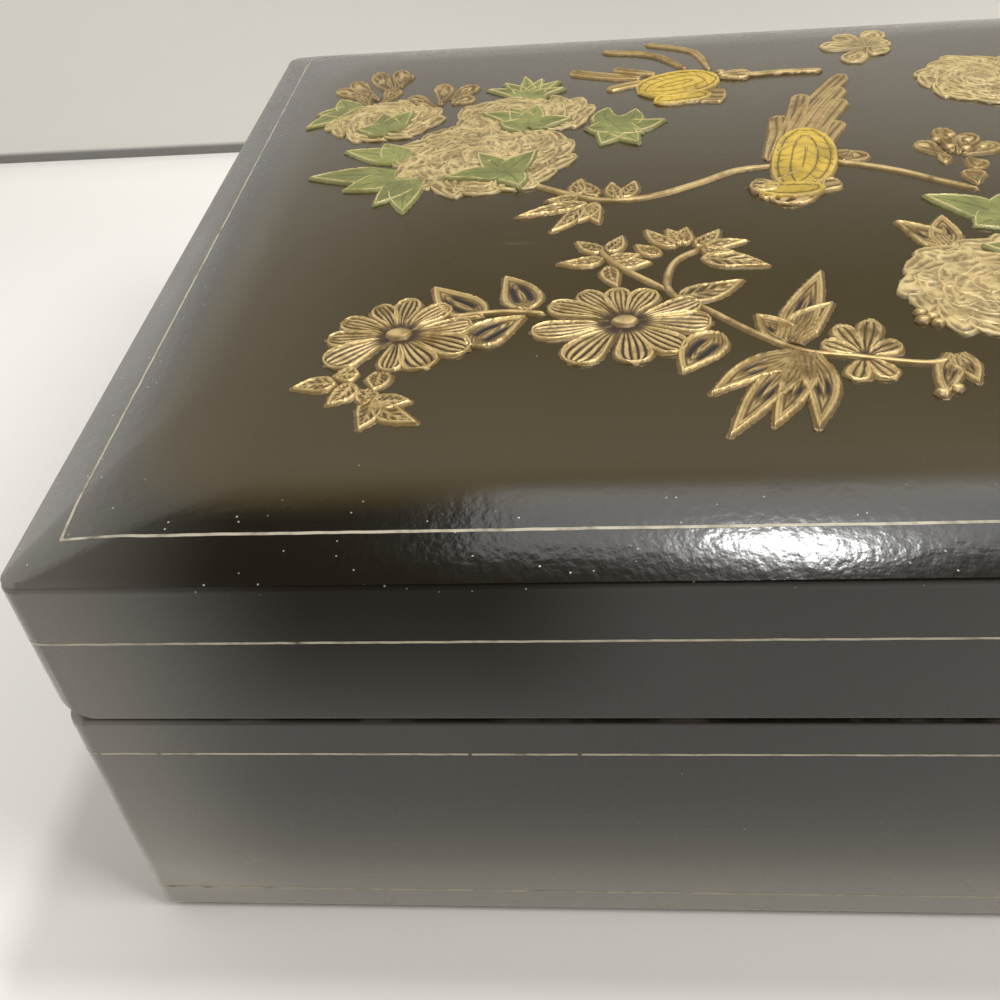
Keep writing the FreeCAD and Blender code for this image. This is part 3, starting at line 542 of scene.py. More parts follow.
def add_ring(bm, inset, radius, z, steps=10, straight=1):
    """A closed ring of edges round the box, with round corners, as its list of edges."""
    x1 = HALF_WIDTH - inset
    y1 = HALF_DEPTH - inset
    corners = []
    for sign_x, sign_y, start in ((1, 1, 0), (-1, 1, 90), (-1, -1, 180), (1, -1, 270)):
        middle = Vector((sign_x * (x1 - radius), sign_y * (y1 - radius), z))
        for step in range(steps + 1):
            angle = math.radians(start + 90 * step / steps)
            corners.append(middle + radius * Vector((math.cos(angle), math.sin(angle), 0)))
    points = []
    for number, corner in enumerate(corners):
        points.append(corner)
        if (number + 1) % (steps + 1) == 0:
            following = corners[(number + 1) % len(corners)]
            points += [corner.lerp(following, part / straight) for part in range(1, straight)]
    verts = [bm.verts.new(point) for point in points]
    return [bm.edges.new((verts[number - 1], verts[number])) for number in range(len(verts))]


def finish_piece(bm, name, body, materials, replaced=()):
    """Turns a bmesh in millimetres into a finished piece that rides on a body."""
    bm.transform(Matrix.Scale(MM, 4))
    mesh = bpy.data.meshes.new(name)
    for face in bm.faces:
        face.smooth = True
    bm.to_mesh(mesh)
    bm.free()
    piece = bpy.data.objects.new(name, mesh)
    bpy.context.scene.collection.objects.link(piece)
    for material in materials:
        mesh.materials.append(finish(material))
    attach(piece, body)
    if replaced:
        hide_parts(*replaced)
    return piece


def is_joint(edge, top):
    """Whether an edge lies in a mitre, or where the lid's rails meet its top, which the lacquer runs over."""
    if top and all(abs(vert.co.z - RAIL_HIGH.z) < 0.01 for vert in edge.verts):
        return True
    for face in edge.link_faces:
        normal = face.normal
        slanted = abs(abs(normal.x) - abs(normal.y)) < 0.02 and abs(normal.z) < 0.05
        if slanted and face.calc_area() > MITRE_AREA:
            return True
    return False


def settled_normals(piece, degrees):
    """Keeps flat faces flat and curves smooth on a piece."""
    split = piece.modifiers.new("crisp edges", "EDGE_SPLIT")
    split.split_angle = math.radians(degrees)
    weighted = piece.modifiers.new("flat faces", "WEIGHTED_NORMAL")
    weighted.keep_sharp = True


def wear_corner(bm, height, upward, wear):
    """Rounds the left front corner's tip at the seam, of a piece below it (upward 1) or above it (-1)."""
    size = sizes()
    out = Vector((-1, -1, 0)).normalized()
    reach = (HALF_WIDTH + HALF_DEPTH) / math.sqrt(2) - size.corner_radius * (math.sqrt(2) - 1)
    middle = out * (reach - wear) + Vector((0, 0, height - upward * wear))
    for degrees in (18, 36, 54, 72):
        angle = math.radians(degrees)
        normal = out * math.cos(angle) + Vector((0, 0, upward * math.sin(angle)))
        bmesh.ops.bisect_plane(bm, geom=bm.verts[:] + bm.edges[:] + bm.faces[:], dist=1e-4,
                               plane_co=middle + normal * wear, plane_no=normal, clear_outer=True)
        bmesh.ops.holes_fill(bm, edges=[edge for edge in bm.edges if edge.is_boundary], sides=0)


def softened_copy(node, name, body, material, width):
    """A joined copy of a CAD node with clean faces, smooth curves and softened edges, which stands for it."""
    bm = bmesh.new()
    bm.from_mesh(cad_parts[node].data)
    bmesh.ops.remove_doubles(bm, verts=bm.verts, dist=1e-6)
    bmesh.ops.dissolve_limit(bm, angle_limit=math.radians(0.5), verts=bm.verts, edges=bm.edges)
    bm.transform(Matrix.Scale(1 / MM, 4))
    bm.normal_update()
    if width:
        sharp = [edge for edge in bm.edges if edge.is_manifold and edge.calc_face_angle(0) > math.radians(40)
                 and not is_joint(edge, body == "lid")]
        bmesh.ops.bevel(bm, geom=sharp, offset=width, segments=2, profile=0.5, affect="EDGES", material=-1,
                        clamp_overlap=True)
    if node in {"lid_front_rail", "lid_left_rail"}:
        wear_corner(bm, RAIL_LOW.z, -1, sizes().corner_wear)
    if node == "drawer_front":
        wear_corner(bm, FRONT_HIGH.z, 1, sizes().corner_wear / 2)
    piece = finish_piece(bm, name, body, [material], [node])
    settled_normals(piece, 38)


def dress(nodes_by_body, ending, material, width):
    """Makes the softened copies of the nodes of each body in one finish."""
    for body, nodes in nodes_by_body.items():
        for node in nodes:
            softened_copy(node, node + ending, body, material, width)


class BOX_OT_lid_pillow(bpy.types.Operator):
    """Makes the lid's top as one smooth pillow with a softened crease"""

    bl_idname = "box.lid_pillow"
    bl_label = "Lid pillow"

    ring_count = 44

    def execute(self, context):
        size = sizes()
        bm = bmesh.new()
        crown_reach = 2 * HALF_DEPTH * size.crown_share
        radius = size.corner_radius
        rings = [add_ring(bm, 0, radius, RAIL_HIGH.z)]
        rings.append(add_ring(bm, 0, radius, crease_height()))
        for number in range(1, self.ring_count + 1):
            inset = crown_reach * (number / self.ring_count) ** 1.6
            growth = size.corner_growth * min(inset, size.pillow_reach)
            rings.append(add_ring(bm, inset, radius + growth, pillow_height(inset)))
        for lower, upper in zip(rings, rings[1:]):
            bmesh.ops.bridge_loops(bm, edges=lower + upper)
        bmesh.ops.contextual_create(bm, geom=rings[-1])
        bmesh.ops.contextual_create(bm, geom=rings[0])
        crease = [edge for edge in bm.edges
                  if all(abs(vert.co.z - crease_height()) < 1e-4 for vert in edge.verts)]
        bmesh.ops.bevel(bm, geom=crease, offset=1.2, segments=7, profile=0.5, affect="EDGES", material=-1)
        bmesh.ops.recalc_face_normals(bm, faces=bm.faces)
        piece = finish_piece(bm, "lid_pillow", "lid", ["black_lacquer"], ["lid_top_panel"])
        settled_normals(piece, 50)
        return {"FINISHED"}


class BOX_OT_casing(bpy.types.Operator):
    """Finishes the lacquered walls of the lid, the base and the drawer"""

    bl_idname = "box.casing"
    bl_label = "Casing"

    walls = {
        "lid": ("lid_front_rail", "lid_back_rail", "lid_left_rail", "lid_right_rail", "mirror_frame_front",
                "mirror_frame_back", "mirror_frame_left", "mirror_frame_right"),
        "base": ("base_left_side", "base_right_side", "base_back", "inner_front_wall"),
        "drawer": ("drawer_front",),
    }

    def execute(self, context):
        dress(self.walls, "_lacquered", "black_lacquer", sizes().edge_softening)
        return {"FINISHED"}


class BOX_OT_gold_lines(bpy.types.Operator):
    """Paints the thin gold lines round the lid, the base and the lid's top"""

    bl_idname = "box.gold_lines"
    bl_label = "Gold lines"

    proud = 0.03
    step_length = 0.6
    straight = int(2 * HALF_WIDTH / step_length)

    def band(self, bm, inner, outer):
        """A ribbon between two rings, a little uneven."""
        bmesh.ops.bridge_loops(bm, edges=inner + outer)
        for vert in bm.verts:
            sway = noise.noise(vert.co * 0.35 + SEED) * 0.07
            vert.co.z += sway if abs(vert.normal.z) < 0.5 else 0

    def break_up(self, bm, threshold):
        """Leaves out the short stretches where the line has flaked."""
        flaked = [face for face in bm.faces
                  if noise.noise(face.calc_center_median() * 1.3 + SEED * 3) > threshold]
        bmesh.ops.delete(bm, geom=flaked, context="FACES")

    def upright_line(self, height, lines):
        """A line round the upright walls at one height, kept where a test of its faces holds."""
        size = sizes()
        for name, body, threshold, keep in lines:
            bm = bmesh.new()
            half = size.line_width / 2
            low = add_ring(bm, -self.proud, size.corner_radius + self.proud, height - half, 6, self.straight)
            high = add_ring(bm, -self.proud, size.corner_radius + self.proud, height + half, 6, self.straight)
            self.band(bm, low, high)
            spare = [face for face in bm.faces if not keep(face.calc_center_median())]
            bmesh.ops.delete(bm, geom=spare, context="FACES")
            self.break_up(bm, threshold)
            bmesh.ops.recalc_face_normals(bm, faces=bm.faces)
            finish_piece(bm, name, body, ["gold_line"])

    def execute(self, context):
        size = sizes()
        split_y = (FRONT_HIGH.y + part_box("base_left_side")[0].y / MM) / 2
        self.upright_line(size.lid_line_height, [("lid_gold_line", "lid", 0.80, lambda place: True)])
        for part, height, threshold in (("upper", size.base_line_height, 0.56),
                                        ("lower", size.foot_line_height, 0.62)):
            self.upright_line(height, [
                ("base_gold_line_" + part, "base", threshold, lambda place: place.y > split_y),
                ("drawer_gold_line_" + part, "drawer", threshold, lambda place: place.y < split_y)])
        bm = bmesh.new()
        rings = []
        for inset in (size.border_inset - size.line_width / 2, size.border_inset + size.line_width / 2):
            height = pillow_height(inset) + self.proud
            rings.append(add_ring(bm, inset, 0.4, height, 2, self.straight))
        bmesh.ops.bridge_loops(bm, edges=rings[0] + rings[1])
        for vert in bm.verts:
            sway = noise.noise(vert.co * 0.3 + SEED) * 0.08
            vert.co.x += sway
            vert.co.y += sway
            vert.co.z = top_height(vert.co.x, vert.co.y) + self.proud
        self.break_up(bm, 0.80)
        bmesh.ops.recalc_face_normals(bm, faces=bm.faces)
        finish_piece(bm, "lid_top_border", "lid", ["gold_line"])
        return {"FINISHED"}


# Shapes of the relief's forms: the half width along a form, as a share of its half width
def petal_outline(u):
    """Narrow at the root and widest near the round tip."""
    if u < 0.74:
        return 0.24 + 0.76 * smoothstep(-0.05, 0.74, u)
    return math.sqrt(max(0.0, 1 - ((u - 0.74) / 0.26) ** 2))


def leaf_outline(u):
    """Widest before the middle, with a drawn-out point."""
    return (math.sin(math.pi * u ** 0.72) ** 0.85) * (1.1 - 0.3 * u)


def feather_outline(u):
    """Nearly even, with a blunt round tip."""
    return min(1.0, 0.45 + u * 1.6) * math.sqrt(max(0.0, 1 - max(0.0, (u - 0.93) / 0.07) ** 2))


def blade_outline(u):
    """Even from end to end, for stems and bills."""
    return min(1.0, (1 - u) * 14) ** 0.5 * min(1.0, u * 14) ** 0.5


def bead_outline(u):
    """A round bead."""
    return math.sqrt(max(0.0, 1 - (2 * u - 1) ** 2))


def palm_outline(u):
    """A lobe that is broad at its root, where it runs into the next one, and pointed at its tip."""
    return (0.70 + 0.30 * smoothstep(0.0, 0.35, u)) * max(0.0, 1 - max(0.0, (u - 0.30) / 0.70) ** 1.6)


def plump_outline(u):
    """A full body, blunt at both ends."""
    return max(0.0, 1 - abs(2 * u - 1) ** 2.4) ** 0.55


OUTLINES = {"petal": petal_outline, "ruffle": petal_outline, "leaf": leaf_outline, "open": leaf_outline,
            "green": palm_outline, "lobe": palm_outline, "feather": feather_outline, "blade": blade_outline,
            "bead": bead_outline, "plume": plump_outline}


def smoothstep(low, high, value):
    """Goes smoothly from 0 at low to 1 at high."""
    share = min(max((value - low) / (high - low), 0.0), 1.0)
    return share * share * (3 - 2 * share)


def swing(angle):
    """A wave between 0 and 1."""
    return 0.5 + 0.5 * math.cos(angle)


def form_face(kind, u, side, inner, place, ribs):
    """Height, ridge, groove and rim inside a form.

    u runs from root to tip, side from -1 to 1 across, and inner is the distance from the outline.
    """
    rim = smoothstep(0.0, 0.16, inner) * (1 - smoothstep(0.42, 0.62, inner))
    heart = smoothstep(0.5, 0.75, inner)
    if kind == "petal":
        wave = swing(math.pi * side * ribs)
        root = 1 - smoothstep(0.10, 0.30, u)
        line = smoothstep(0.22, 0.60, wave) * heart * (1 - root)
        rim *= 1 - root
        return 0.30 + 0.70 * rim + 0.42 * line, line * 0.8, max(heart * (1 - line) * 0.95, root * 0.9), rim
    if kind == "leaf":
        veins = swing(math.tau * (u * 5.5 - abs(side) * 1.5))
        middle = 1 - smoothstep(0.05, 0.16, abs(side))
        line = max(middle, smoothstep(0.45, 0.9, veins)) * heart
        return 0.30 + 0.65 * rim + 0.45 * line, line * 0.9, heart * (1 - line) * 0.75, rim
    if kind == "green":
        rim = smoothstep(0.0, 0.12, inner) * (1 - smoothstep(0.24, 0.42, inner)) * smoothstep(0.26, 0.46, u)
        vein = (1 - smoothstep(0.02, 0.13, abs(side))) * (1 - smoothstep(0.80, 0.95, u))
        veins = swing(math.tau * (u * 3.5 - abs(side) * 1.2))
        dark = max(vein * 0.9, smoothstep(0.8, 1.0, veins) * 0.35 * heart)
        return 0.45 + 0.4 * rim - 0.15 * vein, 0.0, dark, rim
    if kind in {"open", "lobe"}:
        lobe = kind == "lobe"
        rim *= smoothstep(0.24, 0.44, u) if lobe else 1.0
        outward = smoothstep(0.38, 0.50, abs(side) - (0 if lobe else 0.12))
        hollow = smoothstep(0.10, 0.22, abs(side)) * (1 - outward)
        hollow *= smoothstep(0.14, 0.26, u - 0.16 * lobe) * (1 - smoothstep(0.62, 0.80, u + 0.10 * lobe))
        line = swing(math.tau * inner / 0.85)
        height = (0.35 + 0.6 * rim + 0.35 * line) * (1 - hollow) + 0.03 * hollow
        return height, line * (1 - hollow) * 0.8, max(hollow, (1 - line) * heart * 0.7), rim * (1 - hollow)
    if kind == "plume":
        scales = swing(math.tau * (u * ribs + abs(side) * 1.1 + 0.5 * place))
        coil = swing(math.tau * inner / 2.7)
        lines = smoothstep(0.80, 0.98, 1 - scales) * (0.4 + 0.6 * smoothstep(0.3, 0.8, abs(side)))
        dark = max(lines * 0.6, smoothstep(0.86, 0.99, 1 - coil) * 0.75) * heart
        return 0.75 - 0.3 * dark + 0.2 * rim, 0.0, dark, rim * 0.35
    if kind == "feather":
        wave = swing(math.pi * side * ribs)
        dark = smoothstep(0.65, 1.0, 1 - wave) * heart * 0.5
        return 0.45 + 0.35 * wave + 0.3 * rim, wave * 0.45, dark, rim * 0.6
    if kind == "ruffle":
        folds = swing(math.tau * inner / 1.9 + 4.5 * place + side * ribs * 0.7)
        line = smoothstep(0.15, 0.95, folds) * heart
        # Darker towards the petal's root: painted shade, carried in the groove paint
        shade = 1 - smoothstep(0.35, 0.75, u)
        dark = max(heart * (1 - line) * 0.42, shade * 0.45)
        return 0.40 + 0.50 * rim + 0.45 * line, line * 0.8, dark, rim * 0.8
    dome = math.sqrt(max(0.0, 1 - side ** 2))
    return 0.30 + 0.65 * dome, dome * 0.8, smoothstep(0.6, 1.0, abs(side)) * 0.55, 0.0


def along(points, u, length):
    """The place and heading at a share of a smooth line through points, straight on past its ends."""
    spans = len(points) - 1
    at = min(max(u, 0.0), 1.0) * spans
    number = min(int(at), spans - 1)
    t = at - number
    second, third = points[number], points[number + 1]
    first = points[number - 1] if number else second * 2 - third
    fourth = points[number + 2] if number + 2 <= spans else third * 2 - second
    square = 2 * first - 5 * second + 4 * third - fourth
    cube = 3 * second - first - 3 * third + fourth
    place = (2 * second + (third - first) * t + square * t ** 2 + cube * t ** 3) / 2
    heading = ((third - first) + 2 * square * t + 3 * cube * t ** 2).normalized()
    return place + heading * (u - min(max(u, 0.0), 1.0)) * length, heading


class Relief:
    """A group of raised forms on the lid, in one mesh, each with a brown gilded margin."""

    margin = 0.7
    row_length = 0.42
    column_width = 0.30
    sunk = 0.12
    stagger = 0.03

    def __init__(self):
        self.bm = bmesh.new()
        self.paint = self.bm.verts.layers.float_color.new("paint")
        self.count = 0

    def form(self, kind, points, width, bend=0.0, lift=0.0, ribs=4, fineness=1.0, finish_index=0):
        """One form along its points, from root to tip in plan, bent sideways by a share of its length."""
        points = [Vector(point) for point in points]
        if bend:
            chord = points[-1] - points[0]
            points.insert(1, (points[0] + points[-1]) / 2 + Vector((-chord.y, chord.x)) * bend)
        length = sum((after - before).length for before, after in zip(points, points[1:]))
        reach = self.margin / length
        rows = max(8, int(fineness * (length + 2 * self.margin) / self.row_length))
        columns = max(8, int(fineness * (width + 2 * self.margin) / self.column_width))
        made = bmesh.ops.create_grid(self.bm, x_segments=rows, y_segments=columns, size=1.0)
        self.count += 1
        raised = lift + self.stagger * (self.count % 4)
        stations = {}
        for vert in made["verts"]:
            key = round(vert.co.x, 5)
            if key not in stations:
                u = -reach + (1 + 2 * reach) * (vert.co.x + 1) / 2
                past = max(-u, u - 1, 0.0) * length / self.margin
                place, heading = along(points, u, length)
                half = OUTLINES[kind](u) * width / 2 if 0 < u < 1 else 0.0
                skirt = self.margin * math.sqrt(max(0.0, 1 - past ** 2)) * (0.55 if kind == "blade" else 1.0)
                stations[key] = (u, place, Vector((-heading.y, heading.x)), half, skirt)
            self.shape(vert, stations[key], kind, length, raised, ribs)
        for face in {face for vert in made["verts"] for face in vert.link_faces}:
            face.material_index = finish_index
        return self

    def shape(self, vert, station, kind, length, raised, ribs):
        """Puts one point of a form in its place, with its paint."""
        u, place, sideways, half, skirt = station
        across = math.copysign(1 - (1 - abs(vert.co.y)) ** 1.15, vert.co.y)
        ragged = 1 + 0.5 * noise.noise(Vector((place.x * 1.3, place.y * 1.3, across * 2)) + SEED)
        lateral = across * (half + skirt * ragged)
        spot = place + sideways * lateral
        ends = (1 - u) * length * 0.95 if kind != "blade" else half
        inner = min(half - abs(lateral), ends)
        rough = 0.05 * noise.noise(Vector((spot.x, spot.y, 0)) * 2.3 + SEED)
        if inner > 0:
            twist = noise.noise(Vector((spot.x, spot.y, self.count)) * 0.35)
            height, ridge, groove, rim = form_face(kind, u, lateral / max(half, 1e-6), inner, twist, ribs)
        else:
            height, ridge, groove, rim = 0.12, 0.0, 0.50, 0.15
        border = 1 - abs(across)
        edge = smoothstep(0.0, 0.09, border) * smoothstep(0.0, 0.3, skirt / self.margin)
        rise = raised + sizes().relief_rise * (height + rough)
        height = top_height(spot.x, spot.y) - self.sunk + (self.sunk + rise) * edge
        vert.co = Vector((spot.x, spot.y, height))
        vert[self.paint] = (ridge, groove + (0.85 - groove) * (1 - edge), rim, 1.0)

    def finished(self, name, node, materials):
        """The finished relief piece, which stands for its share of a CAD node."""
        bmesh.ops.recalc_face_normals(self.bm, faces=self.bm.faces)
        return finish_piece(self.bm, name, "lid", materials, [node])


def polar(centre, radius_x, radius_y, degrees):
    """A point on an ellipse round a centre."""
    angle = math.radians(degrees)
    return centre[0] + radius_x * math.cos(angle), centre[1] + radius_y * math.sin(angle)


def daisy(relief, centre, tips, button=(4.2, 3.4)):
    """A daisy: long petals with ribs from a centre to their tips, and an oval button."""
    for number, (x, y, width) in enumerate(tips):
        start = Vector(centre).lerp(Vector((x, y)), 0.12)
        relief.form("petal", (start, (x, y)), width, bend=0.03 * (-1) ** number, ribs=5, lift=0.02,
                    fineness=1.3)
    left_end = (centre[0] - button[0] / 2, centre[1])
    right_end = (centre[0] + button[0] / 2, centre[1])
    relief.form("bead", (left_end, right_end), button[1], lift=0.25)


# How far the petals of a peony's layers reach, as shares of its radius
PEONY_LAYERS = (1.0, 0.82, 0.64, 0.45, 0.26)


def peony(relief, centre, radius_x, radius_y, turn=0.0, count=13):
    """A peony: layers of short scalloped petals, higher towards the middle, round a crumpled heart."""
    for layer, reach in enumerate(PEONY_LAYERS):
        petals = max(4, round(count * (0.25 + 0.75 * reach)))
        for number in range(petals):
            degrees = turn + 360 * (number + 0.5 * layer) / petals
            shift = 0.10 * noise.noise(Vector((centre[0] + number * 1.7, centre[1], layer * 3.3)))
            tip = polar(centre, radius_x * (reach + shift), radius_y * (reach + shift), degrees)
            root = polar(centre, radius_x * (reach - 0.40), radius_y * (reach - 0.40), degrees + 9)
            width = 2.5 * math.pi * reach * (radius_x + radius_y) / 2 / petals
            relief.form("ruffle", (root, tip), width, bend=0.08 * (-1) ** number, lift=0.02 + 0.11 * layer,
                        ribs=2 + layer, fineness=0.85)


def leaflets(relief, pairs, width, kind):
    """Leaflets from their roots to their tips, bent to either side in turn."""
    for number, (root, tip) in enumerate(pairs):
        relief.form(kind, (root, tip), width, bend=0.05 * (-1) ** number)


def lobed_leaf(relief, root, tips, width, kind="lobe", lift=0.0):
    """A leaf with several pointed lobes from one root."""
    for number, tip in enumerate(tips):
        relief.form(kind, (root, tip), width, bend=0.05 * (number - (len(tips) - 1) / 2),
                    lift=lift + 0.03 * number)


class BOX_OT_relief_flowers(bpy.types.Operator):
    """Models the daisies, peonies and other flowers of the relief"""

    bl_idname = "box.relief_flowers"
    bl_label = "Relief flowers"

    left_daisy = ((-97, -42.4, 5.0), (-103.0, -44.6, 4.8), (-89.6, -45.4, 5.2), (-109.2, -49.6, 5.2),
                  (-111.0, -55.4, 5.2), (-84.8, -51.8, 5.6), (-85.0, -60.2, 7.0), (-91.8, -65.2, 7.0),
                  (-98.6, -66.0, 4.6), (-109.8, -63.6, 7.2))
    middle_daisy = ((-58.6, -41.4, 5.2), (-65.4, -42.4, 5.2), (-52.4, -42.4, 5.6), (-71.2, -46.6, 5.6),
                    (-74.2, -55.2, 6.0), (-67.2, -65.2, 7.4), (-56.2, -65.8, 6.6), (-47.8, -62.2, 6.6),
                    (-42.4, -54.0, 7.0), (-44.0, -46.6, 5.8))
    right_daisy = tuple((62 + 15 * math.cos(math.radians(a)), -62 + 13.5 * math.sin(math.radians(a)), 6.8)
                        for a in range(10, 370, 36))

    def execute(self, context):
        relief = Relief()
        daisy(relief, (-98.0, -54.6), self.left_daisy)
        daisy(relief, (-57.6, -52.8), self.middle_daisy)
        daisy(relief, (62.0, -62.0), self.right_daisy)
        relief.finished("relief_daisies", "lid_relief_flowers", ["gilt_relief"])
        relief = Relief()
        peony(relief, (-114.0, 45.0), 14.0, 12.0, 10)
        peony(relief, (-79.0, 44.0), 17.0, 11.5, 25)
        peony(relief, (-88.0, 20.0), 21.0, 19.0, 5, 15)
        relief.finished("relief_left_peonies", "lid_relief_flowers", ["pale_blossom"])
        relief = Relief()
        peony(relief, (10.0, -45.0), 18.0, 17.0, 15, 14)
        peony(relief, (32.0, 53.0), 14.0, 15.0, 40)
        peony(relief, (92.0, 20.0), 21.0, 18.0, 20, 15)
        peony(relief, (112.0, -18.0), 15.0, 13.0, 0)
        for tip in ((-15.4, -55.0), (-21.2, -56.4), (-12.2, -62.4), (-24.6, -61.4), (-21.2, -72.4),
                    (-15.0, -72.2)):
            relief.form("petal", ((-18.5, -66.0), tip), 4.2, ribs=3, lift=0.08, finish_index=1)
        for tip in ((-1.5, 81.5), (14.5, 91.5), (15.5, 83.5), (4.0, 89.5), (3.5, 68.5), (13.5, 74.0)):
            relief.form("ruffle", ((10.0, 79.0), tip), 6.4, ribs=4, lift=0.05)
        relief.finished("relief_right_flowers", "lid_relief_flowers", ["pale_blossom", "gilt_relief"])
        return {"FINISHED"}


class BOX_OT_relief_leaves(bpy.types.Operator):
    """Models the gilded and the green leaves of the relief"""

    bl_idname = "box.relief_leaves"
    bl_label = "Relief leaves"

    # The width and the kind of the leaflets, and their roots and tips
    gilt_leaflets = (
        (7.6, "open", (((-83, -49), (-93.2, -38.6)), ((-75, -47.5), (-79.8, -35.6)),
                       ((-85.2, -58.8), (-75.4, -50.2)), ((-41.2, -57.6), (-48.6, -68.8)))),
        (4.4, "leaf", (((-100.0, -74.0), (-101.2, -82.2)), ((-99.5, -76.0), (-91.8, -80.8)),
                       ((-100.0, -75.4), (-93.4, -75.0)), ((-107.2, -69.2), (-114.6, -70.2)),
                       ((-104.0, -69.5), (-107.6, -75.4)), ((-103.6, -66.8), (-107.8, -67.2)),
                       ((-99.8, -66.4), (-100.2, -71.6)), ((-100.6, -71.4), (-101.4, -75.6)))),
    )
    # The root, the lobes' tips and the width of each gilded leaf
    gilt_leaves = (
        ((-30.2, -60.5), ((-34.6, -52.0), (-21.0, -37.6), (-20.8, -49.0)), 6.6),
        ((-27.6, -64.3), ((-44.6, -75.2), (-42.6, -86.2), (-35.6, -84.0), (-29.0, -84.8)), 6.0),
        ((4.0, -30.0), ((-3.6, -19.2), (5.4, -17.8)), 6.4),
        ((-4.0, -66.0), ((-8.4, -77.6), (-2.4, -74.0)), 4.6),
        ((52.0, -40.0), ((42.0, -30.0), (52.0, -24.0), (62.0, -32.0)), 8.0),
    )
    # The root, the lobes' tips, the width and the lift of each green leaf
    green_leaves = (
        ((-106.5, 21.0), ((-121.0, 27.2), (-112.0, 30.0)), 7.6, 0.25),
        ((-107.0, 12.0), ((-127.2, 13.6), (-118.0, 6.0)), 8.4, 0.25),
        ((-104.0, 10.0), ((-103.4, -6.2), (-110.0, -2.0)), 7.6, 0.25),
        ((-82.0, 9.4), ((-95.4, 8.4), (-89.0, 20.6), (-75.6, 20.4), (-78.6, 2.4)), 6.6, 0.8),
        ((-122.5, 52.0), ((-134.0, 44.0), (-132.6, 52.4), (-127.8, 61.0)), 7.2, 0.15),
        ((-112.0, 37.0), ((-120.0, 38.6), (-114.6, 47.6), (-107.4, 48.4)), 6.6, 0.8),
        ((-78.0, 36.0),
         ((-89.4, 44.4), (-83.0, 46.4), (-75.8, 47.4), (-67.6, 38.4), (-84.6, 37.8)), 6.6, 0.8),
        ((-78.6, 53.0),
         ((-89.2, 61.6), (-85.0, 65.4), (-79.8, 69.8), (-75.2, 67.4), (-70.8, 65.0),
          (-69.4, 59.6)), 4.6, 0.2),
        ((-57.4, 34.0),
         ((-51.8, 43.8), (-45.2, 36.4), (-50.8, 29.4), (-52.0, 23.6), (-60.6, 23.8),
          (-64.0, 33.2), (-58.4, 44.8)), 7.0, 0.2),
        ((17.0, -19.0), ((4.2, -9.0), (10.6, -22.6), (24.6, -8.0)), 8.4, 0.2),
        ((20.0, -36.0), ((9.6, -31.4), (30.4, -30.6), (28.0, -42.0)), 6.8, 0.8),
        ((74.0, 12.0), ((58.0, 8.0), (60.0, 20.0), (68.0, -4.0)), 8.4, 0.3),
        ((100.0, 34.0), ((98.0, 50.0), (112.0, 46.0), (120.0, 34.0)), 8.4, 0.3),
        ((100.0, 2.0), ((92.0, -8.0), (108.0, -4.0)), 7.0, 0.8),
    )

    def execute(self, context):
        relief = Relief()
        for width, kind, pairs in self.gilt_leaflets:
            leaflets(relief, pairs, width, kind)
        for root, tips, width in self.gilt_leaves:
            lobed_leaf(relief, root, tips, width)
        relief.finished("relief_gilt_leaves", "lid_relief_leaves", ["gilt_relief"])
        relief = Relief()
        for root, tips, width, lift in self.green_leaves:
            lobed_leaf(relief, root, tips, width, "green", lift=lift)
        relief.finished("relief_green_leaves", "lid_relief_leaves", ["green_leaf"])
        return {"FINISHED"}


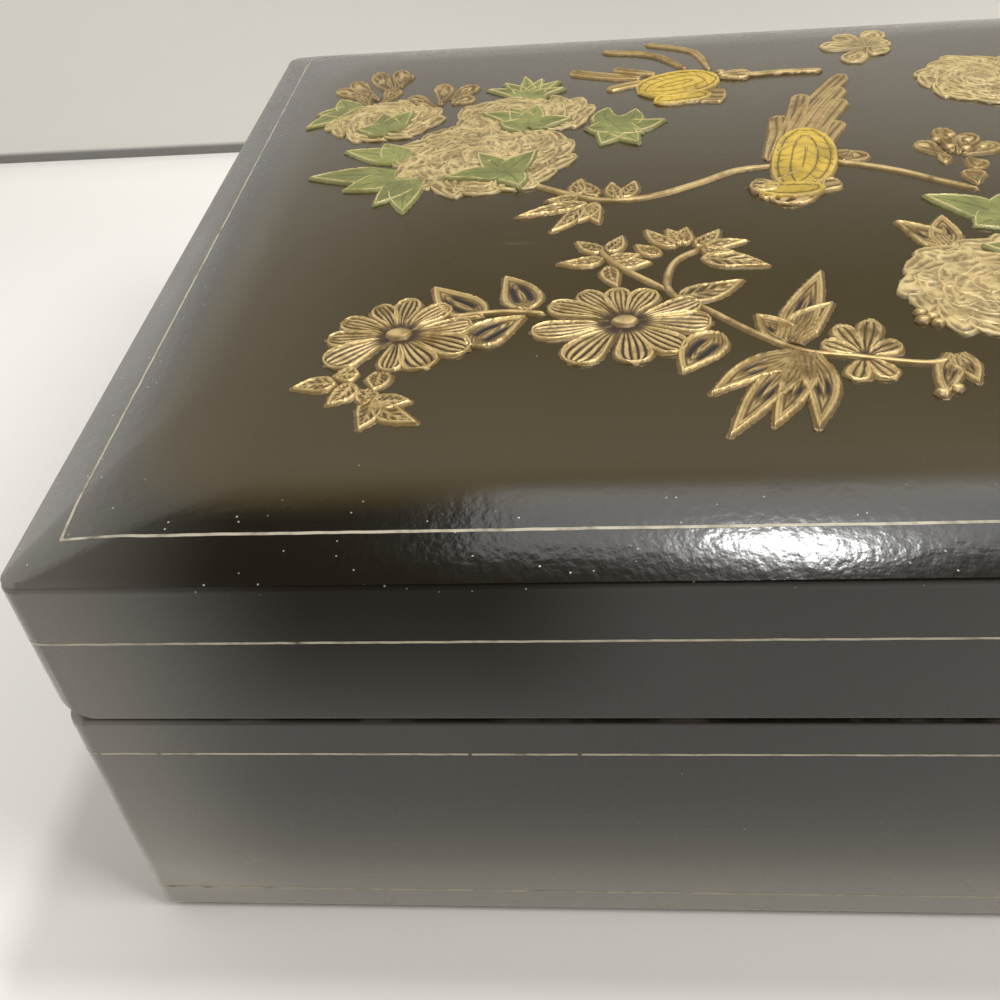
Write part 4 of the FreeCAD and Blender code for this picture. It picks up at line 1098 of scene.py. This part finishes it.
class BOX_OT_relief_birds(bpy.types.Operator):
    """Models the two birds of the relief"""

    bl_idname = "box.relief_birds"
    bl_label = "Relief birds"

    def execute(self, context):
        relief = Relief()
        for root, tip, width, bend in (((-50, 64.5), (-67.8, 71.4), 3.8, 0.02),
                                       ((-46, 67.0), (-56.6, 71.6), 2.6, 0.0),
                                       ((-38, 70.0), (-59.0, 86.4), 2.1, -0.16),
                                       ((-32, 69.0), (-47.2, 91.0), 1.9, -0.2),
                                       ((-42, 61.0), (-58.4, 57.6), 2.9, -0.1)):
            relief.form("feather", (root, tip), width, bend=bend, ribs=3)
        relief.form("feather", ((-44.0, 50.5), (-29.6, 50.0)), 8.6, bend=0.06, ribs=3)
        relief.form("plume", ((-50.6, 54.0), (-30.8, 64.0)), 15.5, lift=0.15, finish_index=1, ribs=8)
        relief.form("plume", ((-47.0, 47.6), (-33.0, 50.6)), 7.0, bend=0.08, lift=0.25, finish_index=1,
                    ribs=5)
        relief.form("petal", ((-32.0, 63.0), (-22.0, 63.6)), 5.4, lift=0.3, ribs=3)
        relief.form("blade", ((-24.0, 62.8), (-14.0, 63.6), (-4.4, 63.4)), 2.2, lift=0.25, ribs=1)
        relief.form("bead", ((-30.4, 65.2), (-28.4, 65.2)), 2.0, lift=0.5)
        relief.finished("relief_upper_bird", "lid_relief_birds", ["gilt_relief", "yellow_bird"])
        relief = Relief()
        for root, tip, width, bend in (((-20, 18), (0.4, 59.6), 4.4, 0.03),
                                       ((-17, 16), (-2.0, 51.0), 4.4, 0.03),
                                       ((-15, 13), (-3.0, 43.4), 4.6, 0.04),
                                       ((-14, 10), (-5.8, 30.6), 4.6, 0.05),
                                       ((-22, 16), (-11.6, 47.6), 4.6, -0.03),
                                       ((-24, 12), (-18.6, 35.0), 5.0, -0.05)):
            relief.form("feather", (root, tip), width, bend=bend, ribs=3)
        relief.form("petal", ((-12.0, 10.0), (-24.6, -9.4)), 11.0, ribs=3)
        relief.form("feather", ((-28.0, -6.0), (-11.0, -1.0)), 5.0, lift=0.05, ribs=2)
        relief.form("plume", ((-20.8, -4.0), (-14.0, 27.0)), 13.6, bend=-0.03, lift=0.2, finish_index=1,
                    ribs=9)
        relief.form("plume", ((-28.8, -3.2), (-14.6, -3.6)), 6.4, bend=-0.05, lift=0.35, finish_index=1,
                    ribs=5)
        relief.form("petal", ((-22.5, -3.5), (-29.6, -1.4)), 5.6, lift=0.45, ribs=3)
        relief.form("bead", ((-28.2, -2.6), (-26.4, -2.6)), 1.8, lift=0.6)
        relief.finished("relief_lower_bird", "lid_relief_birds", ["gilt_relief", "yellow_bird"])
        return {"FINISHED"}


class BOX_OT_relief_stems(bpy.types.Operator):
    """Models the stems, sprays and buds of the relief"""

    bl_idname = "box.relief_stems"
    bl_label = "Relief stems"

    # The width and the points of each stem
    vines = (
        (1.7, ((-78.4, 6.4), (-67.2, -1.4), (-60.0, -4.6), (-50.6, -3.6), (-40.2, 1.8), (-32.0, 7.0),
               (-24.0, 8.6))),
        (1.7, ((-10.0, 9.2), (-5.0, 7.2), (2.0, 3.4), (9.0, -2.0), (15.4, -6.8))),
        (1.2, ((-90.0, -49.4), (-80.0, -48.2), (-72.0, -49.2))),
        (1.2, ((-44.0, -48.0), (-36.4, -56.6), (-28.4, -63.4), (-20.0, -65.6), (-10.0, -68.0),
               (-5.6, -67.6))),
        (1.2, ((-47.6, -46.0), (-49.4, -40.4), (-47.4, -32.0), (-42.0, -27.0))),
        (1.3, ((-50.0, -42.0), (-58.0, -33.0), (-62.0, -26.0))),
        (1.8, ((28.0, -48.0), (40.0, -52.0), (50.0, -56.0))),
        (2.2, ((28.0, -12.0), (44.0, -2.0), (60.0, 6.0), (74.0, 12.0))),
        (1.8, ((76.0, -60.0), (90.0, -50.0), (102.0, -32.0))),
        (1.8, ((44.0, 60.0), (60.0, 66.0), (76.0, 60.0), (88.0, 44.0))),
    )
    # The width and the kind of each spray's leaflets, and their roots and tips
    sprays = (
        (3.6, "leaf", (((-61, -27), (-66.2, -22.8)), ((-60, -27), (-57.0, -20.8)),
                       ((-61, -30), (-69.8, -31.2)), ((-60, -30), (-53.8, -28.8)),
                       ((-58.5, -33), (-52.0, -32.0)), ((-60, -33), (-58.6, -40.6)),
                       ((-47, -26), (-52.4, -18.8)), ((-46, -25), (-48.2, -19.0)),
                       ((-45, -25), (-44.2, -18.4)), ((-43, -26), (-37.8, -19.8)),
                       ((-42, -27), (-32.8, -24.8)), ((-42, -27.6), (-35.6, -29.4)),
                       ((-50, -29), (-54.6, -25.0)))),
        (5.8, "leaf", (((-42.2, -31.0), (-30.0, -34.8)), ((-47.6, -45.2), (-35.4, -39.8)))),
        (3.8, "leaf", (((-66.0, -1.5), (-65.0, 6.2)), ((-62.0, -2.6), (-66.4, 4.8)),
                       ((-57.5, -3.6), (-58.6, 3.8)), ((-56.5, -3.6), (-53.6, 4.0)),
                       ((-66.0, -3.0), (-72.8, -4.0)), ((-64.0, -6.0), (-78.8, -11.0)),
                       ((-65.0, -7.0), (-71.4, -18.0)), ((-63.0, -6.0), (-61.6, -15.0)),
                       ((-62.0, -6.0), (-66.0, -14.0)))),
        (5.0, "ruffle", (((-113.0, 62.0), (-120.6, 79.6)), ((-114.0, 66.0), (-114.4, 80.2)),
                         ((-113.0, 68.0), (-112.0, 77.0)), ((-120.0, 58.0), (-129.8, 68.6)),
                         ((-118.0, 60.0), (-126.0, 73.6)), ((-116.0, 58.0), (-114.4, 66.4)),
                         ((-102.0, 52.0), (-109.0, 60.4)), ((-101.0, 54.0), (-101.6, 67.6)),
                         ((-98.0, 56.0), (-92.4, 65.6)), ((-98.0, 54.0), (-93.0, 58.0)),
                         ((-120.0, 56.0), (-122.0, 66.0)))),
        (4.8, "ruffle", (((-7.0, 10.0), (-8.0, 14.6)), ((-8.5, 9.0), (-3.6, 13.0)),
                         ((13.0, 10.0), (9.4, 17.6)), ((15.0, 12.0), (15.0, 24.0)),
                         ((16.0, 11.0), (21.4, 20.0)), ((17.0, 10.0), (25.0, 14.6)),
                         ((14.0, 9.0), (11.4, 8.6)), ((17.0, 8.0), (19.6, 3.4)),
                         ((16.0, -4.0), (17.0, 2.0)), ((66.0, 64.0), (60.0, 76.0)),
                         ((74.0, 62.0), (74.0, 76.0)), ((80.0, 56.0), (92.0, 66.0)),
                         ((90.0, -50.0), (102.0, -58.0)), ((86.0, -54.0), (88.0, -68.0)),
                         ((96.0, -42.0), (110.0, -46.0)))),
    )
    berries = ((-6.6, -53.0), (-5.0, -54.4), (-6.8, -55.4), (-4.4, -56.4), (-8.6, -76.4), (-6.2, -75.4),
               (13.0, 17.6), (16.4, 19.6), (19.4, 16.4), (14.8, 13.6), (18.0, 12.4), (21.6, 12.8))
    berry_radius = 0.9

    def execute(self, context):
        relief = Relief()
        for width, points in self.vines:
            relief.form("blade", points, width, ribs=1, fineness=0.8)
        for width, kind, pairs in self.sprays:
            leaflets(relief, pairs, width, kind)
        for x, y in self.berries:
            relief.form("bead", ((x - self.berry_radius, y), (x + self.berry_radius, y)),
                        2 * self.berry_radius, lift=0.35, fineness=0.8)
        relief.finished("relief_stems", "lid_relief_stems", ["gilt_relief"])
        return {"FINISHED"}


class BOX_OT_brasswork(bpy.types.Operator):
    """Finishes the hinges, the screws and the lock pin"""

    bl_idname = "box.brasswork"
    bl_label = "Brasswork"

    fittings = {
        "base": ("pin_bush", "hinge_left_base_leaf", "hinge_right_base_leaf", "hinge_left_pin",
                 "hinge_right_pin", "hinge_screws_base"),
        "lid": ("hinge_left_lid_leaf", "hinge_right_lid_leaf", "hinge_screws_lid"),
        "lock_pin": ("lock_pin", "lock_pin_knob"),
    }

    def execute(self, context):
        dress(self.fittings, "_polished", "brass", 0)
        return {"FINISHED"}


class BOX_OT_linings(bpy.types.Operator):
    """Covers the liners, dividers and lining boards with velvet"""

    bl_idname = "box.linings"
    bl_label = "Linings"

    boards = {
        "base": ("compartment_liner_left", "compartment_liner_right", "compartment_liner_back",
                 "compartment_liner_front", "compartment_floor_lining", "tray_divider_long",
                 "tray_divider_left", "tray_divider_right"),
        "lid": ("lid_lining",),
        "drawer": ("drawer_lining", "drawer_divider"),
    }

    def execute(self, context):
        dress(self.boards, "_velvet", "velvet", 0.2)
        return {"FINISHED"}


class BOX_OT_ring_rolls(bpy.types.Operator):
    """Makes the padded rolls that hold rings, with drawn-in ends and a soft crown"""

    bl_idname = "box.ring_rolls"
    bl_label = "Ring rolls"

    count = 6

    def execute(self, context):
        low, high = (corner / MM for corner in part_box("ring_rolls"))
        pitch = (high.y - low.y) / self.count
        bm = bmesh.new()
        for number in range(self.count):
            middle = low.y + pitch * (number + 0.5)
            made = bmesh.ops.create_grid(bm, x_segments=60, y_segments=22, size=1.0)
            for vert in made["verts"]:
                share = vert.co.x
                angle = vert.co.y * math.pi * 0.5
                end = max(0.0, 1 - abs(share) ** 14) ** 0.5
                swell = 1 + 0.012 * noise.noise(Vector((share * 7, angle * 2, number * 5.0)))
                reach = (pitch / 2 - 0.1) * swell
                rise = (high.z - low.z) * (0.93 + 0.07 * end) * swell
                x = (low.x + high.x) / 2 + share * (high.x - low.x) / 2
                y = middle + reach * math.copysign(abs(math.sin(angle)) ** 0.8, angle)
                z = low.z + (rise - 0.3) * abs(math.cos(angle)) ** 0.55 * (0.75 + 0.25 * end)
                vert.co = Vector((x, y, min(z, high.z)))
            sides = [edge for edge in bm.edges if edge.is_boundary and edge.verts[0] in made["verts"]]
            bmesh.ops.contextual_create(bm, geom=sides)
        bmesh.ops.recalc_face_normals(bm, faces=bm.faces)
        piece = finish_piece(bm, "ring_rolls_padded", "base", ["velvet"], ["ring_rolls"])
        return {"FINISHED"}


class BOX_OT_mirror(bpy.types.Operator):
    """Finishes the mirror"""

    bl_idname = "box.mirror"
    bl_label = "Mirror"

    def execute(self, context):
        dress({"lid": ("mirror_glass",)}, "_silvered", "mirror", 0.2)
        return {"FINISHED"}


class BOX_OT_woodwork(bpy.types.Operator):
    """Stains the inner wood of the base and the drawer, and finishes the felt"""

    bl_idname = "box.woodwork"
    bl_label = "Woodwork and felt"

    boards = {
        "base": ("base_bottom", "compartment_floor", "drawer_runner_left", "drawer_runner_right",
                 "drawer_stops"),
        "drawer": ("drawer_left_side", "drawer_right_side", "drawer_back", "drawer_bottom"),
    }

    def execute(self, context):
        dress(self.boards, "_stained", "stained_wood", 0.2)
        dress({"base": ("felt_pad",)}, "_fibrous", "felt", 0.3)
        return {"FINISHED"}


class BOX_OT_stage(bpy.types.Operator):
    """Sets the pale floor and wall, the soft lamps and the camera"""

    bl_idname = "box.stage"
    bl_label = "Stage"

    floor_reach = 3.0
    wall_place = 0.265
    wall_height = 0.12
    camera_place = (-0.06324, -0.21967, 0.20141)
    camera_yaw = math.radians(-6.70)
    camera_pitch = math.radians(40.80)
    camera_roll = math.radians(-5.46)
    focal_pixels = 1084.7
    image_pixels = 1000
    sensor = 36.0

    def plane(self, name, material, corners):
        """One flat stage surface."""
        bm = bmesh.new()
        bm.faces.new([bm.verts.new(corner) for corner in corners])
        mesh = bpy.data.meshes.new(name)
        bm.to_mesh(mesh)
        bm.free()
        mesh.materials.append(finish(material))
        piece = bpy.data.objects.new(name, mesh)
        bpy.context.scene.collection.objects.link(piece)

    def lamp(self, name, place, target, size, power, colour=(1, 1, 1)):
        """One soft area lamp that faces a target."""
        light = bpy.data.lights.new(name, "AREA")
        light.shape = "RECTANGLE"
        light.size, light.size_y = size
        light.energy = power
        light.color = colour
        lamp = bpy.data.objects.new(name, light)
        bpy.context.scene.collection.objects.link(lamp)
        aim = (Vector(target) - Vector(place)).to_track_quat("-Z", "Y").to_matrix().to_4x4()
        lamp.matrix_world = Matrix.Translation(place) @ aim
        return lamp

    def world(self):
        """A pale room: bright on the left, dim high behind, dark overhead and where the onlooker stands."""
        shader = Shader("room", True)
        across, depth, height = (shader.axis(letter) for letter in "XYZ")
        left = 1 - across.ramp(-0.64, -0.42)
        behind = depth.ramp(0.15, 0.5) * height.ramp(0.36, 0.46) * across.ramp(-0.45, -0.10)
        behind = behind * (1 - height.ramp(0.50, 0.68))
        overhead = height.ramp(0.74, 0.88)
        onlooker = (across * 0.25 - depth * 0.72 + height * 0.64).ramp(0.76, 0.90)
        strength = (0.77 + left * 0.60) * (1 - behind * 0.85) * (1 - overhead * 0.97) * (1 - onlooker * 0.93)
        back = shader.node("ShaderNodeBackground", None,
                           {"Color": (1.0, 0.97, 0.93, 1), "Strength": strength})
        shader.tree.links.new(back.outputs[0], shader.output.inputs["Surface"])
        bpy.context.scene.world = shader.material

    def camera(self):
        """The camera at the photograph's place."""
        lens = bpy.data.cameras.new("photo_camera")
        lens.sensor_width = self.sensor
        lens.lens = self.sensor * self.focal_pixels / self.image_pixels
        lens.clip_start = 0.01
        camera = bpy.data.objects.new("photo_camera", lens)
        bpy.context.scene.collection.objects.link(camera)
        ahead = Vector((math.sin(self.camera_yaw) * math.cos(self.camera_pitch),
                        math.cos(self.camera_yaw) * math.cos(self.camera_pitch),
                        -math.sin(self.camera_pitch)))
        level = Vector((math.cos(self.camera_yaw), -math.sin(self.camera_yaw), 0))
        upward = level.cross(ahead)
        right = level * math.cos(self.camera_roll) + upward * math.sin(self.camera_roll)
        up = upward * math.cos(self.camera_roll) - level * math.sin(self.camera_roll)
        turned = Matrix((right, up, -ahead)).transposed().to_4x4()
        camera.matrix_world = Matrix.Translation(self.camera_place) @ turned
        bpy.context.scene.camera = camera

    def execute(self, context):
        bpy.context.scene.view_settings.view_transform = "Standard"
        reach = self.floor_reach
        back = self.wall_place
        top = self.wall_height
        self.plane("floor", "pale_floor",
                   ((-reach, -reach, 0), (reach, -reach, 0), (reach, back, 0), (-reach, back, 0)))
        self.plane("wall", "pale_wall",
                   ((-reach, back, 0), (reach, back, 0), (reach, back, top), (-reach, back, top)))
        self.world()
        self.lamp("ceiling_panel", (0.13, 0.24, 0.97), (0.13, 0.24, 0.0), (0.64, 0.44), 2.7)
        self.lamp("ceiling_lamp", (0.118, 0.050, 0.96), (-0.035, -0.108, 0.093), (0.12, 0.03), 2.6)
        self.lamp("key_lamp", (0.75, -0.30, 1.0), (0, 0, 0.05), (0.5, 0.4), 7.3, (1.0, 0.985, 0.96))
        self.camera()
        return {"FINISHED"}


class BOX_PT_panel(bpy.types.Panel):
    """Lists the steps of the dressing"""

    bl_idname = "BOX_PT_panel"
    bl_label = "Lacquered box"
    bl_space_type = "VIEW_3D"
    bl_region_type = "UI"
    bl_category = "Box"

    def draw(self, context):
        for operator in OPERATORS:
            self.layout.operator(operator.bl_idname)


OPERATORS = (BOX_OT_stage, BOX_OT_lid_pillow, BOX_OT_casing, BOX_OT_gold_lines, BOX_OT_relief_flowers,
             BOX_OT_relief_leaves, BOX_OT_relief_birds, BOX_OT_relief_stems, BOX_OT_brasswork, BOX_OT_linings,
             BOX_OT_ring_rolls, BOX_OT_mirror, BOX_OT_woodwork)
CLASSES = (BoxSizes, BoxColours) + OPERATORS + (BOX_PT_panel,)


def register():
    """Makes the classes and the scene's settings known."""
    for one in CLASSES:
        bpy.utils.register_class(one)
    bpy.types.Scene.box_sizes = bpy.props.PointerProperty(type=BoxSizes)
    bpy.types.Scene.box_colours = bpy.props.PointerProperty(type=BoxColours)


def unregister():
    """Takes them away again."""
    del bpy.types.Scene.box_sizes
    del bpy.types.Scene.box_colours
    for one in reversed(CLASSES):
        bpy.utils.unregister_class(one)


def main():
    """Dresses the box, one operator after another."""
    register()
    for operator in OPERATORS:
        group, name = operator.bl_idname.split(".")
        getattr(getattr(bpy.ops, group), name)()


if __name__ == "__main__":
    main()
